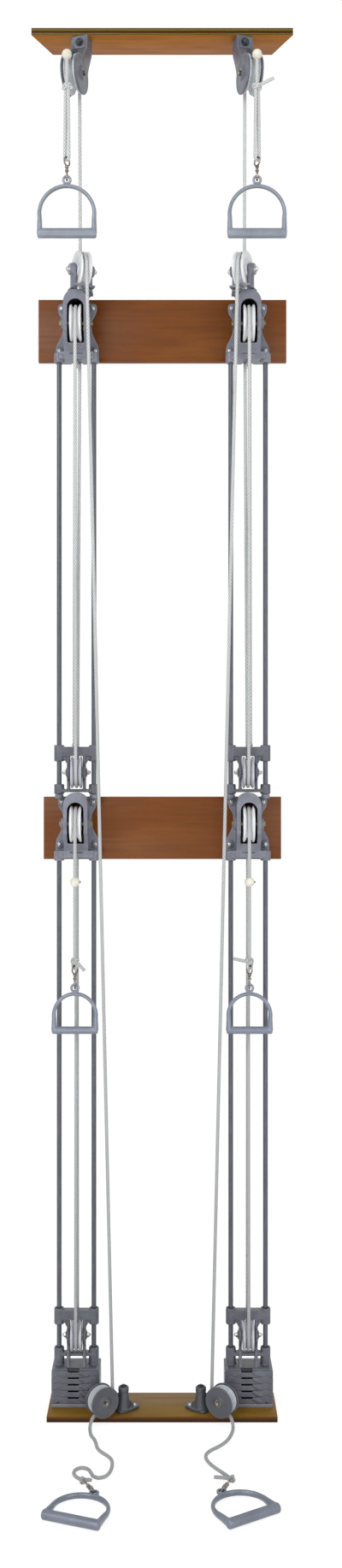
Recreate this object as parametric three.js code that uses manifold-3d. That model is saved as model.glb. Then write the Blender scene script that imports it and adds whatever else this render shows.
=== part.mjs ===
// Wall pulley weight stack: two mirrored columns on four wall boards. Each column has an upper unit
// (overhead rope and floor rope) and a lower unit (chest rope), each with a carriage on two rods.
// Millimetres, +Z up, wall at Y = 0, the user stands at -Y. Heights are above the floor; the whole
// apparatus is then lowered so that the origin is the centre of the chest board's back face.
import * as THREE from "three";
import { mergeVertices } from "three/addons/utils/BufferGeometryUtils.js";
import Module from "manifold-3d";

const wasm = await Module();
wasm.setup();

// Clearances
const runningGap = 0.3;
const overrun = 1;

// Boards: widths along X, heights above the floor. The top board's rise is from the upper board's
// centre to its own underside.
const boardThickness = 12;
const chestBoard = { width: 498, height: 131, centre: 1201 };
const upperBoard = { width: 520, height: 131, centre: 2243 };
const baseBoard = { width: 468, depth: 115, thickness: 12 };
const topBoard = { backWidth: 461, frontWidth: 537, depth: 80, thickness: 15, rise: 584.5 };
const topUnderside = upperBoard.centre + topBoard.rise;

// The two columns
const column = { offset: 178, rodSpacing: 72, rodRadius: 5, rodDepth: 42 };

// Rope, and the knots and stop beads on it
const rope = { radius: 3.25, sides: 6, tailSides: 8, knotRadius: 6.6, beadRadius: 10, arcSteps: 7 };

// Sheaves: seat is the radius of the rope's centre line in the groove
const wheelSize = { radius: 37.8, width: 24, seat: 33.5, bore: 5, rim: 4.4, grooveFloor: 3.6 };
const carriageWheelSize = { radius: 32.5, width: 23, seat: 29, bore: 5, rim: 4.4, grooveFloor: 3.6 };
const floorWheelSize = { radius: 28.5, width: 20, seat: 24, bore: 4.5, rim: 3.4, grooveFloor: 3.6 };
const grooveRelief = 1.2;
const wheelSegments = 14;
const roundSegments = 12;
const smallSegments = 8;

// Bracket casting, heights from its sheave's axis, depths from the wall. The chest bracket's axis
// is a little above its board's centre.
const bracket = {
  chestRise: 10,
  plate: 5,
  earHalf: 39.6,
  earTop: 52,
  earBottom: 37,
  waistHalf: 30.5,
  waistTop: 21,
  waistBottom: -3,
  flareHalf: 45.4,
  flareTop: -36,
  housingHalf: 25,
  windowHalf: 16.8,
  archTop: 64.5,
  windowTop: 44,
  frontDepth: 84,
  chinDepth: 55,
  chinTop: -17,
  sheaveDepth: 60,
  footTop: -55,
  footBottom: -71,
  webTop: -59,
  webBack: 21,
  socketRadius: 11,
  socketTop: -56,
  socketBottom: -77,
  channelHalf: 12,
  channelDepth: 36,
  ropeHoleDepth: 26,
  ropeHoleRadius: 5,
  deadEndDepth: 46,
  deadEndRadius: 4.4,
  bossRadius: 12,
  bossEnd: 31,
  boltRadius: 7,
  boltEnd: 35,
};
const rodSeat = { radius: 9, height: 9, engagement: 6, backTop: 20 };
const strandDepth = 16;
const strandSpread = 5;

// Carriage casting, heights from its sheave's axis. The upper one rests above the chest bracket,
// and the lower one's head plate lies on the stack.
const carriage = {
  restRise: 106,
  headDrop: 75.16,
  barHalfDepth: 9,
  topBarBottom: 34,
  topBarTop: 53,
  topSocketBottom: 23,
  topSocketTop: 57,
  lowBarBottom: -41,
  lowBarTop: -34.5,
  lowSocketBottom: -45,
  lowSocketTop: -24,
  socketRadius: 10.5,
  cheekInner: 13.2,
  cheekOuter: 19.5,
  cheekRadius: 20,
  boltRadius: 8,
  boltEnd: 25,
  tieRadius: 3.6,
};

// Weight plates and the foot they rest on
const plate = { width: 99, depth: 66, back: 9, pitch: 13.56, count: 4, foot: 8 };
const plateSlot = { from: -16, to: 7, height: 3, deep: 8 };
const plateBar = { from: 9, to: 25, rise: 7, thick: 4.5, proud: 2 };

// Guide pulley on the upper bracket's roof
const guide = {
  inward: 12,
  depth: 75,
  rise: 104,
  yawDegrees: -22,
  footThickness: 4,
  footHalfWidth: 23,
  footHalfDepth: 22,
  slotHalfWidth: 13.5,
  slotHalfDepth: 17,
  armInner: 14,
  armOuter: 20,
  armHalfDepth: 9,
  armRadius: 11,
  bossRadius: 9.5,
  bossEnd: 26,
  boltRadius: 6.5,
  boltEnd: 30,
  padBack: 50,
  padDrop: 14,
};

// Overhead block under the top board
const overhead = {
  depth: 110,
  drop: 95.5,
  yawDegrees: 15,
  cheekRadius: 39.5,
  cheekInner: 13,
  cheekOuter: 17.5,
  baseFront: 32,
  baseBack: 62,
  baseHeight: 26,
  armFrontFoot: 2,
  armBackFoot: 34,
  armFrontFootHeight: 30,
  armBackFootHeight: 8,
  bossRadius: 11,
  bossEnd: 20,
  boltRadius: 5.5,
  boltEnd: 25,
};

// Floor block on the base board, laid out along and across its own sheave
const floorBlock = {
  inset: 121,
  depth: 118,
  height: 46,
  yawDegrees: -121,
  cheekRadius: 31,
  cheekInner: 10.8,
  cheekOuter: 14.8,
  postAlong: 53,
  postAcross: -6.7,
  postRadius: 9,
  postTop: 15,
  capRadius: 6,
  capTop: 19,
  bridgeAlong: 12,
  bridgeTop: -6,
  footFrom: 36,
  footTo: 88,
  footBack: -24,
  footFront: 10,
  footThickness: 5.7,
  screwAlong: 78,
  screwRadius: 4.5,
  screwTop: -25,
  bossRadius: 9,
  boltRadius: 6,
  boltEnd: 20,
};

// Snap hook and D handle, hanging from the centre of the hook's ring
const hook = { ringRadius: 8.5, wire: 1.6, barrelRadius: 4, barrelTop: 7.6, barrelBottom: 20 };
const hookLoop = { radius: 6, wire: 1.9, stretchShare: 1.6, yawDegrees: 35 };
const eye = { inner: 5, outer: 9.5, thickness: 5.5, sink: 1.5, ride: 2.3 };
const handle = { heightShare: 0.915, rail: 8, railDepth: 12, barShare: 0.168 };
const handleWidth = { overhead: 118, chest: 94, floor: 110 };

// Bottom of a plate of the stack, counted from the lowest, above the floor
const plateBase = (index) => baseBoard.thickness + runningGap + plate.foot + runningGap + index * plate.pitch;

// Heights of the sheaves' axes above the floor
const chestAxle = chestBoard.centre + bracket.chestRise;
const axle = {
  upperBracket: upperBoard.centre,
  chestBracket: chestAxle,
  upperCarriage: chestAxle + carriage.restRise,
  chestCarriage: plateBase(plate.count) + carriage.headDrop,
  overhead: topUnderside - overhead.drop,
};

// Pendants: how far their beads, knots and hook rings hang below the sheaves' axes
const overheadPendant = { beadDrop: -18, releaseDegrees: 70, knotDrop: 46, ringDrop: 196 };
const chestPendant = { beadDrop: 118, knotDrop: 279.5, ringDrop: 297 };

const degree = Math.PI / 180;
const sheaveGap = runningGap;
const wheelCentre = (bracketHeight) => new THREE.Vector3(0, -bracket.sheaveDepth, bracketHeight);

// Finishes
const enamel = new THREE.MeshStandardMaterial({ color: "#74757f", roughness: 0.55, metalness: 0.1 });
const enamelDark = new THREE.MeshStandardMaterial({ color: "#6b6c76", roughness: 0.55, metalness: 0.1 });
const nylon = new THREE.MeshStandardMaterial({ color: "#eceeee", roughness: 0.4 });
const greyNylon = new THREE.MeshStandardMaterial({ color: "#b9bec2", roughness: 0.45 });
const ropeFinish = new THREE.MeshStandardMaterial({ color: "#e6e6e6", roughness: 0.8 });
const silverPlastic = new THREE.MeshStandardMaterial({ color: "#959cab", roughness: 0.4 });
const chrome = new THREE.MeshStandardMaterial({ color: "#b8b4ae", roughness: 0.25, metalness: 0.9 });
const varnish = new THREE.MeshStandardMaterial({ color: "#8a4a22", roughness: 0.35 });
const plywood = new THREE.MeshStandardMaterial({ color: "#a56a2c", roughness: 0.4 });

// A closed geometry as a solid, turned right side out if its profile ran the other way
function solid(geometry) {
  const bare = geometry.index ? geometry.toNonIndexed() : geometry.clone();
  bare.deleteAttribute("normal");
  bare.deleteAttribute("uv");
  const merged = mergeVertices(bare, 1e-4);
  const triVerts = new Uint32Array(merged.index.array);
  const vertProperties = merged.attributes.position.array;
  const made = new wasm.Manifold(new wasm.Mesh({ numProp: 3, vertProperties, triVerts }));
  if (made.volume() > 0) return made;
  for (let i = 0; i < triVerts.length; i += 3) {
    [triVerts[i + 1], triVerts[i + 2]] = [triVerts[i + 2], triVerts[i + 1]];
  }
  return new wasm.Manifold(new wasm.Mesh({ numProp: 3, vertProperties, triVerts }));
}

// A solid as a mesh with its name and finish
function piece(name, body, material) {
  const { vertProperties, triVerts } = body.getMesh();
  const geometry = new THREE.BufferGeometry();
  geometry.setAttribute("position", new THREE.BufferAttribute(vertProperties, 3));
  geometry.setIndex(new THREE.BufferAttribute(triVerts, 1));
  const mesh = new THREE.Mesh(geometry, material);
  mesh.name = name;
  return mesh;
}

const join = (...bodies) => bodies.reduce((whole, body) => whole.add(body));
const cut = (body, ...tools) => tools.reduce((rest, tool) => rest.subtract(tool), body);

// A block between two corners
function block([x0, x1], [y0, y1], [z0, z1]) {
  const geometry = new THREE.BoxGeometry(x1 - x0, y1 - y0, z1 - z0);
  geometry.translate((x0 + x1) / 2, (y0 + y1) / 2, (z0 + z1) / 2);
  return solid(geometry);
}

// Round bars along each axis, from one end to the other
function barX(radius, [from, to], y, z, segments = roundSegments) {
  const geometry = new THREE.CylinderGeometry(radius, radius, to - from, segments);
  geometry.rotateZ(Math.PI / 2).translate((from + to) / 2, y, z);
  return solid(geometry);
}
function barZ(radius, [from, to], x, y, segments = roundSegments) {
  const geometry = new THREE.CylinderGeometry(radius, radius, to - from, segments);
  geometry.rotateX(Math.PI / 2).translate(x, y, (from + to) / 2);
  return solid(geometry);
}

// An outline of points or curves in the wall's plane (X, Z), from one depth out to another
function wallSlab(shape, from, to, curveSegments = roundSegments) {
  const geometry = new THREE.ExtrudeGeometry(shape, { depth: to - from, bevelEnabled: false, curveSegments });
  geometry.rotateX(Math.PI / 2).translate(0, -from, 0);
  return solid(geometry);
}

// An outline in a side view (Y, Z), from one X to another
function sideSlab(points, from, to) {
  const shape = new THREE.Shape(points.map(([y, z]) => new THREE.Vector2(y, z)));
  const geometry = new THREE.ExtrudeGeometry(shape, { depth: to - from, bevelEnabled: false });
  geometry.rotateX(Math.PI / 2).rotateZ(Math.PI / 2).translate(from, 0, 0);
  return solid(geometry);
}

const both = (make) => join(make(-1), make(1));
const span = (a, b) => [Math.min(a, b), Math.max(a, b)];

// Round bars on both sides of a sheave, and on both rods' lines
const barsX = (radius, from, to, y, segments) => both((s) => barX(radius, span(s * from, s * to), y, 0, segments));
const rodBars = (radius, ends, segments) =>
  both((s) => barZ(radius, ends, (s * column.rodSpacing) / 2, -column.rodDepth, segments));

// A grooved sheave on the X axis
function sheave(size) {
  const { radius, width, seat, bore, rim, grooveFloor } = size;
  const half = width / 2;
  const floor = seat - rope.radius - grooveRelief;
  const profile = [
    [bore + sheaveGap, -half],
    [radius, -half],
    [radius, -half + rim],
    [floor, -grooveFloor],
    [floor, grooveFloor],
    [radius, half - rim],
    [radius, half],
    [bore + sheaveGap, half],
    [bore + sheaveGap, -half],
  ].map(([r, x]) => new THREE.Vector2(r, x));
  return solid(new THREE.LatheGeometry(profile, wheelSegments).rotateZ(Math.PI / 2));
}

// A path through listed points, one section at each point
class Route extends THREE.Curve {
  constructor(points) {
    super();
    this.points = points;
  }
  getPoint(t, target = new THREE.Vector3()) {
    const place = Math.min(Math.max(t, 0), 1) * (this.points.length - 1);
    const index = Math.min(Math.floor(place + 1e-9), this.points.length - 2);
    return target.lerpVectors(this.points[index], this.points[index + 1], place - index);
  }
  getPointAt(u, target) {
    return this.getPoint(u, target);
  }
  getTangentAt(u, target = new THREE.Vector3()) {
    const index = Math.round(u * (this.points.length - 1));
    const before = this.points[Math.max(index - 1, 0)];
    const here = this.points[index];
    const after = this.points[Math.min(index + 1, this.points.length - 1)];
    const into = here.clone().sub(before).normalize();
    const onward = after.clone().sub(here).normalize();
    return target.copy(into.add(onward)).normalize();
  }
}

function ropeAlong(points, sides = rope.sides) {
  const corners = Array.from({ length: sides }, (_, i) => {
    const turn = ((i + 1 / 2) * 2 * Math.PI) / sides;
    return new THREE.Vector2(rope.radius * Math.cos(turn), rope.radius * Math.sin(turn));
  });
  const extrudePath = new Route(points);
  const options = { steps: points.length - 1, extrudePath, bevelEnabled: false };
  return solid(new THREE.ExtrudeGeometry(new THREE.Shape(corners), options));
}

const ball = (radius, centre) =>
  solid(new THREE.SphereGeometry(radius, smallSegments, smallSegments / 2).translate(...centre.toArray()));

// A pulley's place in the column: its centre, and its yaw about Z
const pulleys = {
  upperB: { centre: wheelCentre(axle.upperBracket), yaw: 0 },
  lowerB: { centre: wheelCentre(axle.chestBracket), yaw: 0 },
  upperM: { centre: new THREE.Vector3(0, -column.rodDepth, axle.upperCarriage), yaw: 0 },
  lowerM: { centre: new THREE.Vector3(0, -column.rodDepth, axle.chestCarriage), yaw: 0 },
  guide: {
    centre: new THREE.Vector3(-guide.inward, -guide.depth, axle.upperBracket + guide.rise),
    yaw: guide.yawDegrees * degree,
  },
  overhead: {
    centre: new THREE.Vector3(0, -overhead.depth, axle.overhead),
    yaw: overhead.yawDegrees * degree,
  },
  floor: {
    centre: new THREE.Vector3(
      floorBlock.inset - column.offset,
      -floorBlock.depth,
      floorBlock.height,
    ),
    yaw: floorBlock.yawDegrees * degree,
  },
};

// A point in a pulley's plane: along its front direction, and up
function inPlane(pulley, along, rise) {
  const { centre, yaw } = pulley;
  return new THREE.Vector3(
    centre.x + along * Math.sin(yaw),
    centre.y - along * Math.cos(yaw),
    centre.z + rise,
  );
}

// Rope round a pulley, from one angle to another: 0 is the front, 90 the top, 180 the back
function wrap(pulley, seat, fromDegrees, toDegrees) {
  const steps = Math.ceil((Math.abs(toDegrees - fromDegrees) * rope.arcSteps) / 180);
  return Array.from({ length: steps + 1 }, (_, i) => {
    const angle = (fromDegrees + ((toDegrees - fromDegrees) * i) / steps) * degree;
    return inPlane(pulley, seat * Math.cos(angle), seat * Math.sin(angle));
  });
}

// The loop of rope that holds a hook's ring, below the knot that ties it
function pendantLoop(x, y, knotHeight, ringHeight) {
  const turn = hook.wire + rope.radius + runningGap;
  const bottom = ringHeight + hook.ringRadius;
  const yaw = hookLoop.yawDegrees * degree;
  const at = (across, z) => new THREE.Vector3(x + across * Math.cos(yaw), y + across * Math.sin(yaw), z);
  const arc = Array.from({ length: rope.arcSteps + 1 }, (_, i) => {
    const angle = Math.PI + (Math.PI * i) / rope.arcSteps;
    return at(-turn * Math.cos(angle), bottom + turn * Math.sin(angle));
  });
  const apart = rope.radius + runningGap / 2;
  const above = new THREE.Vector3(x, y, knotHeight + rope.knotRadius);
  return [at(apart, knotHeight), ...arc, at(-apart, knotHeight), above];
}

// Boards
function boards() {
  const depths = [-boardThickness, 0];
  const wallBoard = ({ width, height, centre }) =>
    block([-width / 2, width / 2], depths, [centre - height / 2, centre + height / 2]);
  const { backWidth, frontWidth, depth, thickness } = topBoard;
  const shelf = new THREE.Shape([
    new THREE.Vector2(-backWidth / 2, 0),
    new THREE.Vector2(-frontWidth / 2, -depth),
    new THREE.Vector2(frontWidth / 2, -depth),
    new THREE.Vector2(backWidth / 2, 0),
  ]);
  const shelfGeometry = new THREE.ExtrudeGeometry(shelf, { depth: thickness, bevelEnabled: false });
  const base = baseBoard.width;
  return [
    piece("top_board", solid(shelfGeometry.translate(0, 0, topUnderside)), plywood),
    piece("upper_wall_board", wallBoard(upperBoard), varnish),
    piece("chest_wall_board", wallBoard(chestBoard), varnish),
    piece("base_board", block([-base / 2, base / 2], [-baseBoard.depth, 0], [0, baseBoard.thickness]), plywood),
  ];
}

// Arch outline of the bracket's housing or of its window
function arch(half, top, bottom) {
  const shape = new THREE.Shape();
  shape.moveTo(-half, bottom);
  shape.lineTo(half, bottom);
  shape.lineTo(half, top - half);
  shape.absarc(0, top - half, half, 0, Math.PI, false);
  shape.lineTo(-half, bottom);
  return shape;
}

// Bracket casting with its sheave's axle, in a frame at the column with the axle at height zero
function bracketBody() {
  const b = bracket;
  const right = [
    [b.earHalf, b.earTop],
    [b.earHalf, b.earBottom],
    [b.waistHalf, b.waistTop],
    [b.waistHalf, b.waistBottom],
    [b.flareHalf, b.flareTop],
    [b.flareHalf, b.footTop],
  ];
  const left = right.map(([x, z]) => [-x, z]).reverse();
  const outline = new THREE.Shape([...left, ...right].map(([x, z]) => new THREE.Vector2(x, z)));
  const back = boardThickness;
  const rodX = column.rodSpacing / 2;
  const axleY = -b.sheaveDepth;
  const housing = wallSlab(arch(b.housingHalf, b.archTop, b.footBottom), back, b.frontDepth);
  const window = wallSlab(arch(b.windowHalf, b.windowTop, b.footBottom - overrun), 0, b.frontDepth + overrun);
  const channel = block(
    [-b.channelHalf, b.channelHalf],
    [-b.channelDepth, 0],
    [0, b.archTop + overrun],
  );
  const chin = sideSlab(
    [
      [-b.frontDepth - overrun, b.chinTop],
      [-b.frontDepth - overrun, b.footBottom - overrun],
      [-b.chinDepth, b.footBottom - overrun],
      [-b.chinDepth, b.footTop],
    ],
    -b.housingHalf - overrun,
    b.housingHalf + overrun,
  );
  const shell = cut(join(wallSlab(outline, back, back + b.plate), housing), window, channel, chin);
  const feet = both((s) =>
    block(span(s * b.windowHalf, s * rodX), [-b.chinDepth, -back], [b.footBottom, b.footTop]),
  );
  const webHalf = b.windowHalf + overrun;
  const web = block([-webHalf, webHalf], [-b.chinDepth, -b.webBack], [b.footBottom, b.webTop]);
  const sockets = rodBars(b.socketRadius, [b.socketBottom, b.socketTop]);
  const bosses = barsX(b.bossRadius, b.housingHalf - overrun, b.bossEnd, axleY);
  const bolts = barsX(b.boltRadius, b.bossEnd - overrun, b.boltEnd, axleY, smallSegments);
  const shaft = barX(wheelSize.bore, [-b.bossEnd, b.bossEnd], axleY, 0);
  const holes = join(
    barZ(b.ropeHoleRadius, [b.footBottom - overrun, b.webTop + overrun], 0, -b.ropeHoleDepth, smallSegments),
    barZ(b.deadEndRadius, [b.footBottom - overrun, b.webTop + overrun], 0, -b.deadEndDepth, smallSegments),
  );
  return cut(join(shell, feet, web, sockets, bosses, bolts, shaft), holes);
}

// The guide pulley's seat, on the roof of the upper brackets alone
function guidePad() {
  const top = bracket.archTop;
  return block(
    [-guide.inward - guide.footHalfWidth, bracket.housingHalf / 2],
    [-bracket.frontDepth, -guide.padBack],
    [top - guide.padDrop, top],
  );
}

// Seats for the upper rods' lower ends, on the shoulders of the lower brackets alone
const rodSeatTop = axle.upperCarriage + carriage.lowSocketBottom - runningGap - axle.chestBracket;
function rodSeats() {
  const rodX = column.rodSpacing / 2;
  const top = rodSeatTop;
  return both((s) => {
    const edge = bracket.earHalf;
    const sides = span(s * (edge - rodSeat.radius), s * edge);
    const tab = block(sides, [-boardThickness - bracket.plate, -boardThickness], [top - rodSeat.backTop, top]);
    const arm = block(sides, [-column.rodDepth, -boardThickness], [top - rodSeat.height, top]);
    const seat = barZ(rodSeat.radius, [top - rodSeat.height, top], s * rodX, -column.rodDepth);
    return join(tab, arm, seat);
  });
}

// Carriage casting with its sheave's axle, in a frame at the column with the axle at height zero
function carriageBody(headPlateTop) {
  const c = carriage;
  const y = -column.rodDepth;
  const rodX = column.rodSpacing / 2;
  const depths = [y - c.barHalfDepth, y + c.barHalfDepth];
  const topBar = block([-rodX, rodX], depths, [c.topBarBottom, c.topBarTop]);
  const lowBar = block([-rodX, rodX], depths, [c.lowBarBottom, c.lowBarTop]);
  const topSockets = rodBars(c.socketRadius, [c.topSocketBottom, c.topSocketTop]);
  const lowSocketBottom = headPlateTop ?? c.lowSocketBottom;
  const lowSockets = rodBars(c.socketRadius, [lowSocketBottom, c.lowSocketTop]);
  const cheeks = both((s) => {
    const sides = span(s * c.cheekInner, s * c.cheekOuter);
    const upright = block(sides, depths, [c.lowBarTop - overrun, c.topBarBottom + overrun]);
    return join(upright, barX(c.cheekRadius, sides, y, 0));
  });
  const bolts = barsX(c.boltRadius, c.cheekOuter - overrun, c.boltEnd, y, smallSegments);
  const shaft = barX(carriageWheelSize.bore, [-c.cheekOuter, c.cheekOuter], y, 0);
  return join(topBar, lowBar, topSockets, lowSockets, cheeks, bolts, shaft);
}

const rodHoles = (from, to) => rodBars(column.rodRadius + runningGap, [from, to], smallSegments);

// One weight plate's body, its slot and the slanted bar on its face, bottom at height zero
function plateBody() {
  const height = plate.pitch - runningGap;
  const front = plate.back + plate.depth;
  const slab = block([-plate.width / 2, plate.width / 2], [-front, -plate.back], [0, height]);
  const slot = block(
    [plateSlot.from, plateSlot.to],
    [-front - overrun, -front + plateSlot.deep],
    [height - plateSlot.height, height + overrun],
  );
  const bar = new THREE.Shape([
    new THREE.Vector2(plateBar.from, height),
    new THREE.Vector2(plateBar.to, height - plateBar.rise),
    new THREE.Vector2(plateBar.to, height - plateBar.rise - plateBar.thick),
    new THREE.Vector2(plateBar.from, height - plateBar.thick),
  ]);
  return join(cut(slab, slot), wallSlab(bar, front - overrun, front + plateBar.proud));
}

// Guide yoke, in the guide pulley's own turned frame
function guideYoke() {
  const g = guide;
  const footBottom = bracket.archTop + runningGap - g.rise;
  const footTop = footBottom + g.footThickness;
  const foot = cut(
    block([-g.footHalfWidth, g.footHalfWidth], [-g.footHalfDepth, g.footHalfDepth], [footBottom, footTop]),
    block(
      [-g.slotHalfWidth, g.slotHalfWidth],
      [-g.slotHalfDepth, g.slotHalfDepth],
      [footBottom - overrun, footTop + overrun],
    ),
  );
  const arms = both((s) => {
    const sides = span(s * g.armInner, s * g.armOuter);
    const arm = block(sides, [-g.armHalfDepth, g.armHalfDepth], [footBottom, 0]);
    return join(arm, barX(g.armRadius, sides, 0, 0));
  });
  const bosses = barsX(g.bossRadius, g.armOuter - overrun, g.bossEnd, 0);
  const bolts = barsX(g.boltRadius, g.bossEnd - overrun, g.boltEnd, 0, smallSegments);
  return join(foot, arms, bosses, bolts, barX(wheelSize.bore, [-g.bossEnd, g.bossEnd], 0, 0));
}

// Overhead block, in its pulley's own turned frame
function overheadBlock() {
  const o = overhead;
  const baseTop = o.drop - runningGap;
  const baseBottom = baseTop - o.baseHeight;
  const base = block([-o.cheekOuter, o.cheekOuter], [o.baseFront, o.baseBack], [baseBottom, baseTop]);
  const arm = [
    [o.armFrontFoot, o.armFrontFootHeight],
    [o.armBackFoot, o.armBackFootHeight],
    [o.baseBack, baseBottom + overrun],
    [o.baseFront, baseBottom + overrun],
  ];
  const cheeks = both((s) => {
    const sides = span(s * o.cheekInner, s * o.cheekOuter);
    return join(barX(o.cheekRadius, sides, 0, 0, wheelSegments), sideSlab(arm, ...sides));
  });
  const bosses = barsX(o.bossRadius, o.cheekOuter - overrun, o.bossEnd, 0);
  const bolts = barsX(o.boltRadius, o.bossEnd - overrun, o.boltEnd, 0, smallSegments);
  return join(base, cheeks, bosses, bolts, barX(wheelSize.bore, [-o.bossEnd, o.bossEnd], 0, 0));
}

// Floor block, in its pulley's own turned frame: the rope comes down at -Y, the base is below
function floorBlockBody() {
  const f = floorBlock;
  const floor = baseBoard.thickness + runningGap - f.height;
  const footTop = floor + f.footThickness;
  const cheeks = barsX(f.cheekRadius, f.cheekInner, f.cheekOuter, 0, wheelSegments);
  const bosses = barsX(f.bossRadius, f.cheekOuter - overrun, f.cheekOuter + overrun, 0);
  const bolts = barsX(f.boltRadius, f.cheekOuter, f.boltEnd, 0, smallSegments);
  const shaft = barX(floorWheelSize.bore, [-f.cheekOuter, f.cheekOuter], 0, 0);
  const foot = block([f.footBack, f.footFront], [-f.footTo, -f.footFrom], [floor, footTop]);
  const bridgeSide = [-f.cheekOuter, -f.cheekInner];
  const bridge = block(bridgeSide, [-f.postAlong, -f.bridgeAlong], [footTop - overrun, f.bridgeTop]);
  const post = barZ(f.postRadius, [floor, f.postTop], f.postAcross, -f.postAlong);
  const cap = barZ(f.capRadius, [f.postTop - overrun, f.capTop], f.postAcross, -f.postAlong, smallSegments);
  const screwEnds = [footTop - overrun, f.screwTop];
  const screw = barZ(f.screwRadius, screwEnds, f.postAcross, -f.screwAlong, smallSegments);
  return join(cheeks, bosses, bolts, shaft, foot, bridge, post, cap, screw);
}

// Snap hook: ring, swivel barrel and loop, hanging down from the ring's centre
function hookBody() {
  const ring = new THREE.TorusGeometry(hook.ringRadius, hook.wire, smallSegments / 2 + 1, smallSegments + 2);
  ring.rotateY(Math.PI / 2).rotateZ(hookLoop.yawDegrees * degree);
  const { radius, wire, stretchShare } = hookLoop;
  const loop = new THREE.TorusGeometry(radius, wire, smallSegments / 2 + 1, smallSegments + 2);
  loop.rotateY(Math.PI / 2).scale(1, 1, stretchShare);
  const drop = hook.barrelBottom + (radius - wire / 2) * stretchShare;
  return join(
    solid(ring),
    barZ(hook.barrelRadius, [-hook.barrelBottom, -hook.barrelTop], 0, 0, smallSegments),
    solid(loop.translate(0, 0, -drop)),
  );
}

const loopBottom = hook.barrelBottom + (hookLoop.radius - hookLoop.wire / 2) * hookLoop.stretchShare
  + hookLoop.radius * hookLoop.stretchShare;
const eyeDrop = loopBottom - hookLoop.wire * hookLoop.stretchShare + eye.inner;

// D handle, hanging down from the centre of its eye
function handleBody(width) {
  const height = width * handle.heightShare;
  const barRadius = (width * handle.barShare) / 2;
  const top = -eye.outer + eye.sink;
  const half = width / 2;
  const barHeight = top - height + barRadius;
  const depth = handle.railDepth / 2;
  const frame = wallSlab(arch(half, top, barHeight), -depth, depth, roundSegments / 2);
  const gap = wallSlab(
    arch(half - handle.rail, top - handle.rail, barHeight - barRadius * 2),
    -handle.railDepth,
    handle.railDepth,
    roundSegments / 2,
  );
  const ring = new THREE.Shape().absarc(0, 0, eye.outer, 0, 2 * Math.PI, false);
  ring.holes.push(new THREE.Path().absarc(0, 0, eye.inner, 0, 2 * Math.PI, true));
  const eyeRing = wallSlab(ring, -eye.thickness / 2, eye.thickness / 2, smallSegments);
  const bar = barX(barRadius, [-half, half], 0, barHeight);
  return join(cut(frame, gap), bar, eyeRing);
}

// Heights where ropes pass the bracket's foot
const footOf = (height) => height + bracket.footBottom;

// Where the overhead rope hangs, clear of the block's cheeks by the bead that stops it there
function hangPlace() {
  return inPlane(pulleys.overhead, overhead.cheekRadius + rope.beadRadius / 2 + rope.radius / 2, 0);
}

// Overhead rope: pendant, over the overhead pulley, down behind the bracket's sheave, under the
// carriage's sheave, up over the bracket's sheave and down to its knot below the casting
function overheadRope() {
  const p = overheadPendant;
  const hang = hangPlace();
  const bead = new THREE.Vector3(hang.x, hang.y, axle.overhead - p.beadDrop);
  const knotHeight = axle.overhead - p.knotDrop;
  const upperWheel = axle.upperBracket;
  const foot = footOf(upperWheel);
  const deadEnd = new THREE.Vector3(0, -bracket.ropeHoleDepth, foot - rope.knotRadius - runningGap);
  const aboveWheel = upperWheel + wheelSize.seat + wheelSize.radius;
  const points = [
    ...pendantLoop(hang.x, hang.y, knotHeight, axle.overhead - p.ringDrop),
    new THREE.Vector3(hang.x, hang.y, axle.overhead - rope.beadRadius),
    bead,
    ...wrap(pulleys.overhead, wheelSize.seat, p.releaseDegrees, 180),
    new THREE.Vector3(-strandSpread - rope.radius / 2, -strandDepth - rope.radius, aboveWheel),
    new THREE.Vector3(-strandSpread, -strandDepth, upperWheel + bracket.sheaveDepth / 2),
    new THREE.Vector3(-strandSpread, -strandDepth, foot),
    ...wrap(pulleys.upperM, carriageWheelSize.seat, 180, 360),
    ...wrap(pulleys.upperB, wheelSize.seat, 0, 180),
    deadEnd,
  ];
  const knot = ball(rope.knotRadius, new THREE.Vector3(hang.x, hang.y, knotHeight));
  const endKnot = ball(rope.knotRadius - rope.radius / 5, deadEnd);
  return join(ropeAlong(points), knot, ball(rope.beadRadius, bead), endKnot);
}

// Chest rope: pendant, over the lower bracket's sheave, round the carriage's and up to the casting
function chestRope() {
  const p = chestPendant;
  const front = inPlane(pulleys.lowerB, wheelSize.seat, 0);
  const lowerWheel = axle.chestBracket;
  const tie = new THREE.Vector3(0, -bracket.deadEndDepth, lowerWheel + bracket.webTop + rope.radius);
  const under = new THREE.Vector3(0, -bracket.deadEndDepth - runningGap, footOf(lowerWheel));
  const points = [
    ...pendantLoop(front.x, front.y, lowerWheel - p.knotDrop, lowerWheel - p.ringDrop),
    ...wrap(pulleys.lowerB, wheelSize.seat, 0, 180),
    ...wrap(pulleys.lowerM, carriageWheelSize.seat, 180, 360),
    under,
    tie,
  ];
  const bead = new THREE.Vector3(front.x, front.y, lowerWheel - p.beadDrop);
  const knot = new THREE.Vector3(front.x, front.y, lowerWheel - p.knotDrop);
  const tieKnot = ball(rope.knotRadius - rope.radius / 2, tie.clone().setZ(tie.z + rope.radius / 2));
  return join(ropeAlong(points), ball(rope.knotRadius, knot), ball(rope.beadRadius, bead), tieKnot);
}

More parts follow.
